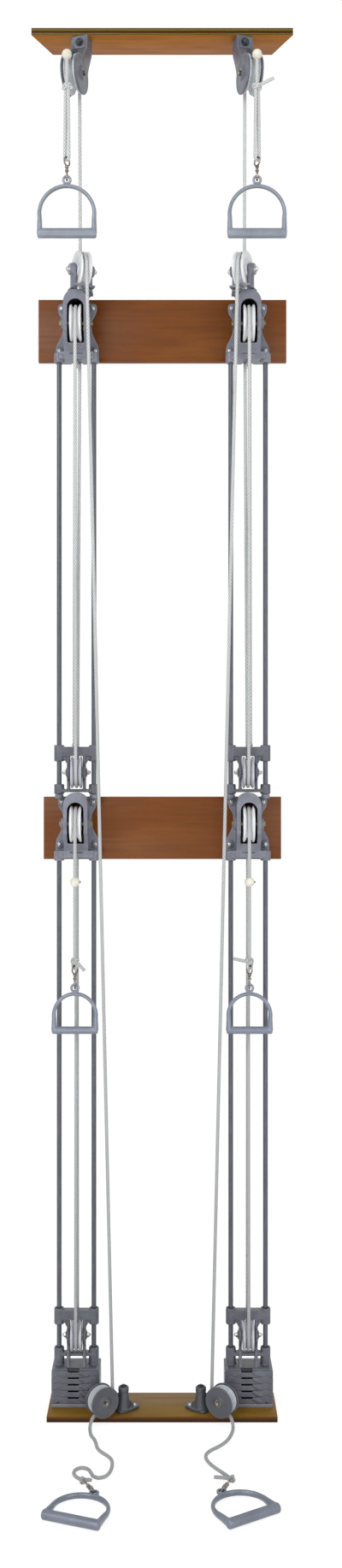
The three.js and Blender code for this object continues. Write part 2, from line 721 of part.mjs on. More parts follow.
// Floor rope: tied to the upper carriage, up behind the bracket's sheave, over the guide pulley,
// down to the floor block and out under it
const floorExit = 10;
function floorRope() {
  const upperWheel = axle.upperBracket;
  const top = axle.upperCarriage + carriage.topBarTop;
  const tied = new THREE.Vector3(strandSpread, -column.rodDepth, top + carriage.tieRadius + 2 * runningGap);
  const out = inPlane(pulleys.floor, 0, -floorWheelSize.seat);
  const away = inPlane(pulleys.floor, -floorExit, -floorWheelSize.seat);
  const points = [
    tied,
    new THREE.Vector3(strandSpread, -strandDepth, footOf(upperWheel)),
    new THREE.Vector3(strandSpread, -strandDepth, upperWheel + bracket.sheaveDepth / 2),
    ...wrap(pulleys.guide, wheelSize.seat, 180, 0),
    ...wrap(pulleys.floor, floorWheelSize.seat, 0, -90).slice(0, -1),
    out,
    away,
  ];
  return join(ropeAlong(points), ball(carriage.tieRadius + runningGap, tied));
}

// Floor tails: hand-laid routes from the floor block to the hook, X outward, Y from the wall, Z up
const tailRoutes = {
  left: [
    [139, -133, 18],
    [143, -143, 11.5],
    [144, -153, 6.4],
    [143, -164, 4.4],
    [140, -180, 3.6],
    [133, -197, 3.6],
    [128.5, -215, 3.6],
    [125, -233, 3.6],
    [117, -249, 3.6],
    [105, -264, 3.6],
    [96.5, -279, 3.6],
    [93.5, -296, 3.6],
    [94, -315, 3.6],
    [97.5, -333, 3.6],
    [105, -347, 3.6],
    [117, -352, 3.6],
    [127, -345, 3.6],
    [132, -332, 3.6],
    [138, -319, 3.6],
    [149, -313, 3.6],
    [160, -319, 3.6],
    [164, -332, 3.6],
    [160, -346, 3.6],
    [151, -358, 4.5],
    [144, -370, 6.6],
  ],
  right: [
    [138.5, -132.5, 18],
    [141.5, -142, 11.5],
    [142, -153, 6.4],
    [140, -166, 4.2],
    [136, -181, 3.6],
    [130, -198, 3.6],
    [121, -214, 3.6],
    [110, -228, 3.6],
    [98, -240, 3.6],
    [88.5, -253, 3.6],
    [84.5, -268, 3.6],
    [87, -284, 3.6],
    [93, -299, 3.6],
    [101, -313, 3.6],
    [110, -326, 3.6],
    [119, -339, 3.6],
    [126, -352, 4.5],
    [130, -364, 6.6],
  ],
};

function tail(route) {
  const placed = route.map(([x, y, z]) => new THREE.Vector3(x - column.offset, y, z));
  const leaving = [-floorExit - runningGap, -floorExit - rope.radius].map((along) =>
    inPlane(pulleys.floor, along, -floorWheelSize.seat),
  );
  const end = placed[placed.length - 1];
  return join(ropeAlong([...leaving, ...placed], rope.tailSides), ball(rope.knotRadius, end));
}

// Where each floor handle lies: the hook points from the knot to the eye, the handle to the bar
const floorLay = {
  left: { eye: [114, -437], bar: [163, -530] },
  right: { eye: [104, -431], bar: [166, -505] },
};

// Hook and handle of the floor rope as they lie, in one piece, the bar's round side on the floor
function floorEnd({ eye: eyePlace, bar }, route) {
  const quarterTurn = 90;
  const height = (handleWidth.floor * handle.barShare) / 2;
  const lay = (body, place, toward) => {
    const heading = Math.atan2(toward.x - place.x, place.y - toward.y) / degree;
    const turned = body.rotate([-quarterTurn, 0, 0]).rotate([0, 0, heading]);
    return turned.translate([place.x - column.offset, place.y, height]);
  };
  const [knotX, knotY] = route[route.length - 1];
  const knot = new THREE.Vector2(knotX, knotY);
  const toEye = new THREE.Vector2(...eyePlace).sub(knot).normalize();
  const ring = knot.clone().addScaledVector(toEye, rope.knotRadius + hook.ringRadius + hook.wire / 2);
  const seat = ring.clone().addScaledVector(toEye, eyeDrop);
  const laidHook = lay(hookBody(), ring, seat);
  return join(laidHook, lay(handleBody(handleWidth.floor), seat, new THREE.Vector2(...bar)));
}

// One column, X outward from its rods' centre line. All the plates are cast alike, so the left
// column, which is built as the right one's mirror image, turns its plates back.
function columnParts(side) {
  const group = new THREE.Group();
  const add = (name, body, material) => group.add(piece(`${name}_${side}`, body, material));
  const castPlate = () => (side === "left" ? plateBody().mirror([1, 0, 0]) : plateBody());
  const addWheel = (name, size, pulley, material) => {
    const mesh = piece(`${name}_${side}`, sheave(size), material);
    mesh.position.copy(pulley.centre);
    mesh.rotation.z = pulley.yaw;
    group.add(mesh);
  };
  const addTurned = (name, body, pulley) => {
    const mesh = piece(`${name}_${side}`, body, enamel);
    mesh.position.copy(pulley.centre);
    mesh.rotation.z = pulley.yaw;
    group.add(mesh);
  };
  const rods = (from, to) => rodBars(column.rodRadius, [from, to], smallSegments);

  const seatTop = axle.chestBracket + rodSeatTop;
  const rodFoot = seatTop - rodSeat.engagement;
  const upper = join(bracketBody(), guidePad()).translate([0, 0, axle.upperBracket]);
  add("upper_bracket_and_rods", join(upper, rods(rodFoot, footOf(axle.upperBracket) + overrun)), enamel);
  const socketFloor = bracket.footBottom + bracket.socketTop - bracket.webTop;
  const lower = cut(
    join(bracketBody(), rodSeats()),
    rodHoles(rodSeatTop - rodSeat.engagement - runningGap, rodSeatTop + overrun),
    rodHoles(bracket.socketBottom - overrun, socketFloor),
  );
  add("chest_bracket", lower.translate([0, 0, axle.chestBracket]), enamel);

  addTurned("guide_yoke", guideYoke(), pulleys.guide);
  addTurned("overhead_block", overheadBlock(), pulleys.overhead);
  addTurned("floor_block", floorBlockBody(), pulleys.floor);
  addWheel("guide_sheave", wheelSize, pulleys.guide, nylon);
  addWheel("overhead_sheave", wheelSize, pulleys.overhead, greyNylon);
  addWheel("floor_sheave", floorWheelSize, pulleys.floor, greyNylon);
  addWheel("upper_bracket_sheave", wheelSize, pulleys.upperB, nylon);
  addWheel("chest_bracket_sheave", wheelSize, pulleys.lowerB, nylon);
  addWheel("upper_carriage_sheave", carriageWheelSize, pulleys.upperM, nylon);
  addWheel("chest_carriage_sheave", carriageWheelSize, pulleys.lowerM, nylon);

  const carriageHoles = rodHoles(carriage.lowSocketBottom - overrun, carriage.topSocketTop + overrun);
  const upperCarriage = cut(carriageBody(), carriageHoles);
  add("upper_carriage", upperCarriage.translate([0, 0, axle.upperCarriage]), enamelDark);
  const headBase = plateBase(plate.count) - axle.chestCarriage;
  const headTop = headBase + plate.pitch - runningGap;
  const lowerCarriage = cut(
    join(carriageBody(headTop - overrun), castPlate().translate([0, 0, headBase])),
    rodHoles(headBase - overrun, carriage.topSocketTop + overrun),
  );
  add("chest_carriage", lowerCarriage.translate([0, 0, axle.chestCarriage]), enamelDark);

  for (let i = 0; i < plate.count; i += 1) {
    const body = cut(castPlate(), rodHoles(-overrun, plate.pitch + overrun));
    add(`weight_plate_${plate.count - i}`, body.translate([0, 0, plateBase(i)]), enamelDark);
  }
  const footBase = baseBoard.thickness + runningGap;
  const foot = block(
    [-plate.width / 2, plate.width / 2],
    [-plate.back - plate.depth, -plate.back],
    [footBase, footBase + plate.foot],
  );
  const lowerRodTop = axle.chestBracket + socketFloor - runningGap;
  add("foot_block_and_rods", join(foot, rods(footBase + overrun, lowerRodTop)), enamel);

  add("overhead_rope", overheadRope(), ropeFinish);
  add("chest_rope", chestRope(), ropeFinish);
  add("floor_rope", floorRope(), ropeFinish);
  add("floor_tail", tail(tailRoutes[side]), ropeFinish);
  add("floor_hook_and_handle", floorEnd(floorLay[side], tailRoutes[side]), silverPlastic);

  const hang = hangPlace();
  const front = inPlane(pulleys.lowerB, wheelSize.seat, 0);
  const stations = [
    ["overhead", hang, axle.overhead - overheadPendant.ringDrop],
    ["chest", front, axle.chestBracket - chestPendant.ringDrop],
  ];
  for (const [station, place, ringHeight] of stations) {
    const at = [place.x, place.y, ringHeight];
    add(`${station}_hook`, hookBody().translate(at), chrome);
    const handleAt = [place.x, place.y, ringHeight - eyeDrop + eye.ride + runningGap];
    add(`${station}_handle`, handleBody(handleWidth[station]).translate(handleAt), silverPlastic);
  }
  group.position.x = column.offset;
  return group;
}

const apparatus = new THREE.Group();
apparatus.add(...boards());
for (const side of ["left", "right"]) {
  const wing = new THREE.Group();
  wing.add(columnParts(side));
  if (side === "left") wing.scale.x = -1;
  apparatus.add(wing);
}
apparatus.position.z = -chestBoard.centre;
const part = new THREE.Group();
part.add(apparatus);

export default part;
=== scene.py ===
"""Looks of the wall pulley weight stack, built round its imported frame.

Pieces are drawn in millimetres, in one column's own frame (X outward from the column, Y into the
wall, Z as height above the floor) or in a pulley's, and placed in metres in the row frame.
"""

import math

import bmesh
import bpy
from mathutils import Matrix, Vector


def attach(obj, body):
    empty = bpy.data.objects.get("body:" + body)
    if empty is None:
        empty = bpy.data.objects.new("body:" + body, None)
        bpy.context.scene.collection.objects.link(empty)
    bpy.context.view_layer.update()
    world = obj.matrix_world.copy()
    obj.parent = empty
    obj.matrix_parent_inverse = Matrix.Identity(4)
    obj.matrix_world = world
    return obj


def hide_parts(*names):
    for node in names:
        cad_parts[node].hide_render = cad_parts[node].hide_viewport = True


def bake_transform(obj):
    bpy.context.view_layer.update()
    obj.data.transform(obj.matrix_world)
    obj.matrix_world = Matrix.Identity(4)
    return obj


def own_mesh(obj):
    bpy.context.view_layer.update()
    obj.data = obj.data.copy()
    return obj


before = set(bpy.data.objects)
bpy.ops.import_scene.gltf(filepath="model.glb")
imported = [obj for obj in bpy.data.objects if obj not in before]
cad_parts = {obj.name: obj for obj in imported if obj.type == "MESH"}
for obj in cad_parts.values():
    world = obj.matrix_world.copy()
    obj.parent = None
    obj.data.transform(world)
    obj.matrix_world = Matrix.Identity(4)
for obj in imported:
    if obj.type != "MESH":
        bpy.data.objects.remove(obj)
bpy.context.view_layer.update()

MM = 0.001
ORIGIN_HEIGHT = 1201
COLUMN_OFFSET = 178
SIDES = {"left": -1, "right": 1}
FRAME_BODY = "wall_frame"

# Camera: 3 m from the wall, level, at the height of the photograph's middle
CAMERA_PLACE = (0.018, -3.0, 0.092)
PICTURE_HEIGHT = 3.3012
SENSOR = 36
WHITE = (1, 1, 1, 1)

# Guide rods: their radius, the bores round them, half their spacing, their distance from the wall,
# and their ends
ROD = {"radius": 5, "bore": 5.9, "half": 36, "depth": 42}
ROD_ENDS = {"upper": (1266, 2173), "lower": (13.3, 1142.7)}

# The rope's radius, and those of the knot and of the bead on it
ROPE = {"radius": 3.25, "knot": 6.6, "bead": 10}

# Sheaves: rim, half width, the rope's centre line in the groove, and bore
LARGE = {"radius": 37.8, "half": 12, "seat": 33.5, "bore": 5.3}
SMALL = {"radius": 32.5, "half": 11.5, "seat": 29, "bore": 5.3}
FLOOR_WHEEL = {"radius": 28.5, "half": 10, "seat": 24, "bore": 4.8}

# Heights of the castings' axles, their distances from the wall, and a bracket's underside below its axle
BRACKET = {"upper": 2243, "chest": 1211}
CARRIAGE = {"upper": 1317, "chest": 150}
BRACKET_AXLE, CARRIAGE_AXLE = (0, -60, 0), (0, -42, 0)
FOOT = -71

# Strands behind the bracket's sheave: distance from the wall, and to either side of the middle
STRAND = {"depth": 16, "spread": 5}

# Pulleys: centre in the column's frame, and the way they face, in degrees about the upright
PULLEYS = {
    "guide": ((-12, -75, 2347), -22),
    "overhead": ((0, -110, 2732), 15),
    "floor": ((-57, -118, 46), -121),
    "upper_bracket": ((0, BRACKET_AXLE[1], BRACKET["upper"]), 0),
    "chest_bracket": ((0, BRACKET_AXLE[1], BRACKET["chest"]), 0),
    "upper_carriage": ((0, CARRIAGE_AXLE[1], CARRIAGE["upper"]), 0),
    "chest_carriage": ((0, CARRIAGE_AXLE[1], CARRIAGE["chest"]), 0),
}

# Pendants: heights of the bead, the knot and the hook's ring; the overhead rope leaves its sheave
# at an angle of release and hangs at a reach from its axle
OVERHEAD = {"bead": 2750, "knot": 2686, "ring": 2536, "reach": 46.125, "release": 70}
CHEST = {"bead": 1093, "knot": 931.5, "ring": 914}
RING_YAW = 35

# Hook and handle: ring radius, ring centre to eye centre as they lie and as they hang, the handles'
# widths, and a grip's radius as a share of the width
RING_RADIUS = 8.5
EYE_DROP = 39.64
EYE_HANGS = EYE_DROP - 2.6
HANDLE_WIDTH = {"overhead": 118, "chest": 94, "floor": 110}
GRIP_SHARE = 0.084

# Weight plates: thickness and pitch, the lowest one's foot, half width, and front and back
PLATE = {"height": 13.26, "pitch": 13.56, "first": 20.6, "half": 49.5, "front": -75, "back": -9}

# A carriage's cheek between two distances from the middle, a bracket's screws about its axle, and
# the floor block's post and the overhead block's stud in their pulleys' frames
CHEEK = (13.4, 19.5)
SCREW_BOSSES = ((33, 44.5), (37.5, -44))
POST = (-6.7, -53, 0)
STUD = (0, 0, 82)

# Wall boards: their height, and the place of their face, which the bracket castings stand on
WALL_BOARD = {"height": 131, "face": -12}

# The top board's underside, and its thickness, over which every board's layers are laid out
TOP_BOARD_HEIGHT = 2827.5
LAYERED_HEIGHT = 15

# The floor tails as they lie: X from the part's middle, Y from the wall, height above the floor
TAIL_ROUTES = {
    "left": [
        (139, -133, 18), (143, -143, 11.5), (144, -153, 6.4), (143, -164, 4.4), (140, -180, 3.6),
        (133, -197, 3.6), (128.5, -215, 3.6), (125, -233, 3.6), (117, -249, 3.6), (105, -264, 3.6),
        (96.5, -279, 3.6), (93.5, -296, 3.6), (94, -315, 3.6), (97.5, -333, 3.6), (105, -347, 3.6),
        (117, -352, 3.6), (127, -345, 3.6), (132, -332, 3.6), (138, -319, 3.6), (149, -313, 3.6),
        (160, -319, 3.6), (164, -332, 3.6), (160, -346, 3.6), (151, -358, 4.5), (144, -370, 6.6),
    ],
    "right": [
        (138.5, -132.5, 18), (141.5, -142, 11.5), (142, -153, 6.4), (140, -166, 4.2), (136, -181, 3.6),
        (130, -198, 3.6), (121, -214, 3.6), (110, -228, 3.6), (98, -240, 3.6), (88.5, -253, 3.6),
        (84.5, -268, 3.6), (87, -284, 3.6), (93, -299, 3.6), (101, -313, 3.6), (110, -326, 3.6),
        (119, -339, 3.6), (126, -352, 4.5), (130, -364, 6.6),
    ],
}

# Where the handles on the floor have their eyes and bars: X from the part's middle, Y from the wall
FLOOR_LAY = {
    "left": {"eye": (114, -437), "bar": (163, -530)},
    "right": {"eye": (104, -431), "bar": (166, -505)},
}

# The ropes' loose ends, as they stand out from their knots
LOOSE_ENDS = {
    ("overhead", "left"): [(-6, -2, -3), (-13, -5, -6)],
    ("overhead", "right"): [(8, -3, 3), (20, -5, 8), (33, -6, 14)],
    ("chest", "left"): [(-8, -3, -6), (-20, -4, -19)],
    ("chest", "right"): [(-12, -4, 1), (-33, -5, 6)],
    ("floor", "left"): [(-14, 9, -2.6)],
    ("floor", "right"): [(-31, 15, -2.9)],
}


# Places

def in_plane(pulley, along, rise):
    """A point in a pulley's plane: along its front direction, and up."""
    (x, y, z), yaw = PULLEYS[pulley]
    turn = math.radians(yaw)
    return Vector((x + along * math.sin(turn), y - along * math.cos(turn), z + rise))


def wrap(pulley, seat, start, end):
    """Rope round a pulley between two angles: 0 is the front, 90 the top, 180 the back."""
    steps = max(2, round(abs(end - start) / 6))
    angles = [math.radians(start + (end - start) * i / steps) for i in range(steps + 1)]
    return [in_plane(pulley, seat * math.cos(a), seat * math.sin(a)) for a in angles]


def in_row(side, place=None):
    """From a column's millimetres, or those of a place in it, to the row frame's metres."""
    mirror = Matrix.Diagonal((SIDES[side], 1, 1, 1))
    column = mirror @ Matrix.Translation((COLUMN_OFFSET, 0, -ORIGIN_HEIGHT))
    return Matrix.Scale(MM, 4) @ column @ (place or Matrix.Identity(4))


def at_pulley(name):
    centre, yaw = PULLEYS[name]
    return Matrix.Translation(centre) @ Matrix.Rotation(math.radians(yaw), 4, "Z")


def at_height(height):
    return Matrix.Translation((0, 0, height))


def metres(side, point):
    return tuple(in_row(side) @ Vector(point))


# Shells: lists of corners and faces

def block(x, y, z):
    xs, ys, zs = sorted(x), sorted(y), sorted(z)
    corners = [(a, b, c) for c in zs for b in ys for a in xs]
    return corners, [(0, 2, 3, 1), (4, 5, 7, 6), (0, 1, 5, 4), (2, 6, 7, 3), (0, 4, 6, 2), (1, 3, 7, 5)]


def turned(profile, axis="x", at=(0, 0, 0), segments=40, ring=False):
    """A profile of (radius, place along the axis) turned about the axis."""
    corners, faces, rings = [], [], []
    order = {"x": (0, 1, 2), "y": (1, 0, 2), "z": (1, 2, 0)}[axis]
    for radius, along in profile:
        count = 1 if radius < 1e-6 else segments
        rings.append(range(len(corners), len(corners) + count))
        for k in range(count):
            angle = 2 * math.pi * k / segments
            raw = (along, radius * math.cos(angle), radius * math.sin(angle))
            corners.append(tuple(raw[order[i]] + at[i] for i in range(3)))
    pairs = list(zip(rings, rings[1:])) + ([(rings[-1], rings[0])] if ring else [])
    for first, second in pairs:
        for k in range(segments):
            turns = ((first, k), (second, k), (second, k + 1), (first, k + 1))
            loop = list(dict.fromkeys(band[i % segments % len(band)] for band, i in turns))
            if len(loop) > 2:
                faces.append(tuple(loop))
    return corners, faces


def rod(radius, ends, axis, at=(0, 0, 0), chamfer=0.8, segments=32):
    low, high = sorted(ends)
    cut = min(chamfer, radius / 2, (high - low) / 3)
    lower = [(0, low), (radius - cut, low), (radius, low + cut)]
    return turned(lower + [(radius, high - cut), (radius - cut, high), (0, high)], axis, at, segments)


def dome(radius, foot, rise, axis="x", at=(0, 0, 0), segments=24):
    """A round cap that stands on a plane across the axis; a negative rise points it back."""
    angles = [math.pi / 2 * i / 6 for i in range(6)]
    arc = [(radius * math.cos(a), foot + rise * math.sin(a)) for a in angles]
    return turned([(0, foot)] + arc + [(0, foot + rise)], axis, at, segments)


def hexagon(radius, ends, axis="x", at=(0, 0, 0)):
    return turned([(0, ends[0]), (radius, ends[0]), (radius, ends[1]), (0, ends[1])], axis, at, 6)


def slab(outline, depths):
    """An outline in the wall's plane (X, Z) between two places along Y."""
    n = len(outline)
    corners = [(x, y, z) for y in depths for x, z in outline]
    sides = [(i, (i + 1) % n, n + (i + 1) % n, n + i) for i in range(n)]
    return corners, [tuple(range(n)), tuple(reversed(range(n, 2 * n)))] + sides


def side_slab(outline, widths):
    """An outline in a side view (Y, Z) between two places along X."""
    corners, faces = slab(outline, widths)
    return [(y, x, z) for x, y, z in corners], faces


def plan_slab(outline, heights):
    """An outline seen from above (X, Y) between two heights."""
    corners, faces = slab(outline, heights)
    return [(x, z, y) for x, y, z in corners], faces


def rounded(points, radii, steps=5):
    """An outline with its corners rounded."""
    out = []
    for i, point in enumerate(points):
        here = Vector(point)
        before, after = Vector(points[i - 1]) - here, Vector(points[(i + 1) % len(points)]) - here
        radius = radii[i] if isinstance(radii, (list, tuple)) else radii
        reach = min(radius, before.length * 0.48, after.length * 0.48)
        start, end = here + before.normalized() * reach, here + after.normalized() * reach
        for k in range(steps + 1):
            t = k / steps
            out.append(tuple(start * (1 - t) ** 2 + here * 2 * t * (1 - t) + end * t ** 2))
    return out


def arch(half, top, bottom, steps=18):
    arc = [(half * math.cos(math.pi * i / steps), top - half + half * math.sin(math.pi * i / steps))
           for i in range(steps + 1)]
    return [(-half, bottom), (half, bottom)] + arc


def frames_along(path, closed=False):
    """Two directions across a path at each of its points, turned as little as possible."""
    n = len(path)
    tangents = []
    for i in range(n):
        before = path[i - 1] if closed or i else path[0]
        after = path[(i + 1) % n] if closed or i < n - 1 else path[-1]
        tangents.append((after - before).normalized())
    start = Vector((0, 0, 1)) if abs(tangents[0].z) < 0.9 else Vector((0, 1, 0))
    across = [(start - start.project(tangents[0])).normalized()]
    for tangent in tangents[1:]:
        across.append((across[-1] - across[-1].project(tangent)).normalized())
    return [(u, tangent.cross(u)) for u, tangent in zip(across, tangents)]


def swept(path, radius, sides=12, closed=False, flat=1.0):
    """A bar along a path; radius may be a list, and flat squeezes it along its first direction."""
    path = [Vector(p) for p in path]
    radii = radius if isinstance(radius, list) else [radius] * len(path)
    corners = []
    for point, r, (u, v) in zip(path, radii, frames_along(path, closed)):
        for k in range(sides):
            angle = 2 * math.pi * k / sides
            corners.append(tuple(point + u * (r * flat * math.cos(angle)) + v * (r * math.sin(angle))))
    n = len(path)
    faces = []
    for i in range(n if closed else n - 1):
        a, b = i * sides, ((i + 1) % n) * sides
        faces += [(a + k, a + (k + 1) % sides, b + (k + 1) % sides, b + k) for k in range(sides)]
    if not closed:
        faces += [tuple(reversed(range(sides))), tuple(range((n - 1) * sides, n * sides))]
    return corners, faces


def smoothed(points, steps=6):
    """A smooth curve through listed points."""
    points = [Vector(p) for p in points]
    line = [points[0]]
    for i in range(len(points) - 1):
        p0, p1, p2 = points[max(i - 1, 0)], points[i], points[i + 1]
        p3 = points[min(i + 2, len(points) - 1)]
        for k in range(1, steps + 1):
            t = k / steps
            line.append(0.5 * (2 * p1 + (p2 - p0) * t + (2 * p0 - 5 * p1 + 4 * p2 - p3) * t * t
                               + (3 * p1 - p0 - 3 * p2 + p3) * t ** 3))
    return line


def both(make):
    return [make(-1), make(1)]


def round_rods(radius, ends, chamfer=0.0, segments=24):
    """The same upright round shape about both guide rods."""
    return both(lambda s: rod(radius, ends, "z", (s * ROD["half"], -ROD["depth"], 0), chamfer, segments))


# Meshes

def mesh_of(shells):
    """One mesh of closed shells, facing outwards."""
    corners, faces = [], []
    for shell_corners, shell_faces in shells:
        base = len(corners)
        corners += [tuple(c) for c in shell_corners]
        faces += [tuple(i + base for i in face) for face in shell_faces]
    mesh = bpy.data.meshes.new("shell")
    mesh.from_pydata(corners, [], faces)
    work = bmesh.new()
    work.from_mesh(mesh)
    bmesh.ops.recalc_face_normals(work, faces=work.faces)
    work.to_mesh(mesh)
    work.free()
    return mesh


def stand(name, data):
    thing = bpy.data.objects.new(name, data)
    bpy.context.collection.objects.link(thing)
    return thing


def settled(thing):
    """The thing's mesh as its modifiers leave it; the thing itself is removed."""
    bpy.context.view_layer.update()
    result = bpy.data.meshes.new_from_object(thing.evaluated_get(bpy.context.evaluated_depsgraph_get()))
    bpy.data.objects.remove(thing, do_unlink=True)
    return result


def bevelled(shells, width, segments=2, angle=35):
    thing = stand("bevelled", mesh_of(shells))
    bevel = thing.modifiers.new("edge", "BEVEL")
    bevel.width, bevel.segments, bevel.limit_method = width, segments, "ANGLE"
    bevel.angle_limit = math.radians(angle)
    return settled(thing)


def cast(adds, cuts=(), grain=1.0, softening=3, share=0.3):
    """Solids fused into one casting, with openings cut and its edges softened."""
    body = stand("casting", mesh_of([adds[0]]))
    tools = []
    for shell, operation in [(s, "UNION") for s in adds[1:]] + [(s, "DIFFERENCE") for s in cuts]:
        tool = stand("tool", mesh_of([shell]))
        tool.hide_render = True
        tools.append(tool)
        step = body.modifiers.new(operation.lower(), "BOOLEAN")
        step.operation, step.solver, step.object = operation, "MANIFOLD", tool
    skin = body.modifiers.new("skin", "REMESH")
    skin.mode, skin.voxel_size = "VOXEL", grain
    soft = body.modifiers.new("soften", "SMOOTH")
    soft.iterations, soft.factor = softening, 0.5
    thin = body.modifiers.new("thin", "DECIMATE")
    thin.ratio = share
    result = settled(body)
    for tool in tools:
        bpy.data.objects.remove(tool, do_unlink=True)
    return result


def painted_shade_inside(mesh, low, high):
    """Marks the faces between two corners, which get painted shade: the enamel colours them near black."""
    faces = mesh.attributes.new("inside", "FLOAT", "FACE")
    for face, mark in zip(mesh.polygons, faces.data):
        mark.value = float(all(a < c < b for a, c, b in zip(low, face.center, high)))
    return mesh


def placed(mesh, side, place=None):
    copy = mesh.copy()
    copy.transform(in_row(side, place))
    if SIDES[side] < 0:
        copy.flip_normals()
    return copy


def keep(name, mesh, finish, body, node=None, sharp=35):
    """The mesh as a finished piece that may ride on a body and stand for a CAD node."""
    piece = stand(name, mesh)
    mesh.name = name
    mesh.materials.clear()
    mesh.materials.append(finish)
    mesh.shade_smooth()
    mesh.set_sharp_from_angle(angle=math.radians(sharp))
    if body:
        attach(piece, body)
    if node:
        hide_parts(node)
    return piece


def part(name, side, mesh, place, finish, body=FRAME_BODY, node=None):
    """A piece of one column, at a place in that column's frame."""
    return keep(f"{name}_{side}", placed(mesh, side, place), finish, body, node and f"{node}_{side}")


# Finishes

class Nodes:
    """A node tree, with short ways to add its nodes."""

    def __init__(self, tree):
        self.tree = tree

    def node(self, kind, inputs=None, **settings):
        """A new node's outputs; an input takes a value, or another node's output."""
        made = self.tree.nodes.new(kind)
        for key, value in settings.items():
            setattr(made, key, value)
        for socket, source in (inputs or {}).items():
            if hasattr(source, "is_output"):
                self.tree.links.new(source, made.inputs[socket])
            else:
                made.inputs[socket].default_value = source
        return made.outputs

    def maths(self, operation, first, second=0.0):
        return self.node("ShaderNodeMath", {0: first, 1: second}, operation=operation)[0]


class Finish(Nodes):
    """A material on the Principled shader, patterned on Object coordinates."""

    def __init__(self, name, **shader):
        self.material = bpy.data.materials.new(name)
        self.material.use_nodes = True
        super().__init__(self.material.node_tree)
        self.shader = self.tree.nodes["Principled BSDF"]
        for socket, value in shader.items():
            self.shader.inputs[socket.replace("_", " ").title().replace("Ior", "IOR")].default_value = value
        self.place = self.node("ShaderNodeTexCoord")["Object"]

    def mapped(self, scale):
        return self.node("ShaderNodeMapping", {"Vector": self.place, "Scale": scale})[0]

    def noise(self, scale, detail=3.0, source=None, roughness=0.55):
        return self.node("ShaderNodeTexNoise", {
            "Vector": source or self.place, "Scale": scale, "Detail": detail, "Roughness": roughness})[0]

    def cells(self, scale, feature="F1"):
        return self.node("ShaderNodeTexVoronoi", {"Vector": self.place, "Scale": scale}, feature=feature)

    def geometry(self, kind):
        return self.node("ShaderNodeNewGeometry")[kind]

    def attribute(self, name):
        return self.node("ShaderNodeAttribute", attribute_name=name)["Fac"]

    def part_of(self, vector, axis):
        return self.node("ShaderNodeSeparateXYZ", {"Vector": vector})[axis]

    def ramp(self, source, *stops):
        """Colours written as #rrggbb, each at its place between 0 and 1."""
        made = self.node("ShaderNodeValToRGB", {"Fac": source})[0]
        elements = made.node.color_ramp.elements
        while len(elements) < len(stops):
            elements.new(0.5)
        for element, (at, code) in zip(elements, stops):
            element.position, element.color = at, colour(code)
        return made

    def spread(self, source, low, high, start=0.3, end=0.7):
        return self.node("ShaderNodeMapRange", {
            "Value": source, "From Min": start, "From Max": end, "To Min": low, "To Max": high})[0]

    def mix(self, first, second, share):
        """The first colour with a share of the second, which may be written as #rrggbb."""
        second = colour(second) if isinstance(second, str) else second
        return self.node("ShaderNodeMix", {0: share, 6: first, 7: second}, data_type="RGBA")[2]

    def bump(self, height, distance, strength=1.0, under=None):
        inputs = {"Height": height, "Distance": distance, "Strength": strength}
        return self.node("ShaderNodeBump", inputs | ({"Normal": under} if under else {}))[0]

    def give(self, **sources):
        for socket, source in sources.items():
            self.tree.links.new(source, self.shader.inputs[socket.replace("_", " ")])
        return self.material


def colour(code):
    """A colour written as #rrggbb, as the linear values that the shader takes."""
    parts = [int(code[i:i + 2], 16) / 255 for i in (1, 3, 5)]
    return (*(p / 12.92 if p <= 0.04045 else ((p + 0.055) / 1.055) ** 2.4 for p in parts), 1)


def hammered_enamel(name, base, dark, pale):
    """Grey hammered enamel on cast metal: dimples, painted shade in the hollows and on marked inner faces,
    wear on the edges.
    """
    f = Finish(name, metallic=0.0, coat_weight=0.25, coat_roughness=0.3)
    dimples = f.cells(330.0, "SMOOTH_F1")[0]
    drift = f.noise(38.0, 4.0)
    tone = f.ramp(drift, (0.3, dark), (0.55, base), (0.75, pale))
    tone = f.mix(tone, dark, f.spread(dimples, 0.0, 0.22, 0.1, 0.7))
    edges = f.geometry("Pointiness")
    # Painted shade: where the surface curves inward, the hollows are darkened.
    tone = f.mix(tone, "#3c3d44", f.spread(edges, 0.7, 0.0, 0.42, 0.495))
    tone = f.mix(tone, "#a9abb4", f.spread(edges, 0.0, 0.45, 0.53, 0.6))
    # Painted shade: faces marked inside are coloured near black, as deep shadow.
    tone = f.mix(tone, "#08080a", f.attribute("inside"))
    relief = f.bump(dimples, 0.0005, 0.5, f.bump(f.noise(120.0, 2.0), 0.0006, 0.35))
    return f.give(Base_Color=tone, Roughness=f.spread(drift, 0.36, 0.56), Normal=relief)


def rod_steel(name):
    """Drawn rods under enamel, streaked along their length."""
    f = Finish(name, metallic=0.35, coat_weight=0.2, coat_roughness=0.25)
    streak = f.noise(9.0, 3.0, f.mapped((60, 60, 4)))
    tone = f.ramp(streak, (0.3, "#42434b"), (0.7, "#595b65"))
    fine = f.bump(f.noise(420.0, 2.0), 0.0001, 0.4)
    return f.give(Base_Color=tone, Roughness=f.spread(streak, 0.3, 0.45), Normal=fine)


def varnished_board(name, tones, shade):
    """Varnished veneer with its grain along the board."""
    f = Finish(name, coat_weight=0.05, coat_roughness=0.2, specular_ior_level=0.2)
    cloud = f.noise(2.4, 3.0, f.mapped((1.4, 5, 5)))
    fibre = f.noise(3.4, 7.0, f.mapped((2.2, 30, 34)), 0.62)
    pores = f.noise(9.0, 3.0, f.mapped((14, 330, 330)))
    tone = f.ramp(cloud, *zip((0.3, 0.5, 0.72), tones))
    tone = f.mix(tone, shade, f.spread(fibre, 0.0, 0.62, 0.42, 0.68))
    tone = f.mix(tone, "#2e1608", f.spread(pores, 0.0, 0.32, 0.56, 0.74))
    relief = f.bump(pores, 0.0002, 0.25, f.bump(fibre, 0.0003, 0.2))
    return f.give(Base_Color=tone, Roughness=f.spread(fibre, 0.28, 0.42), Normal=relief)


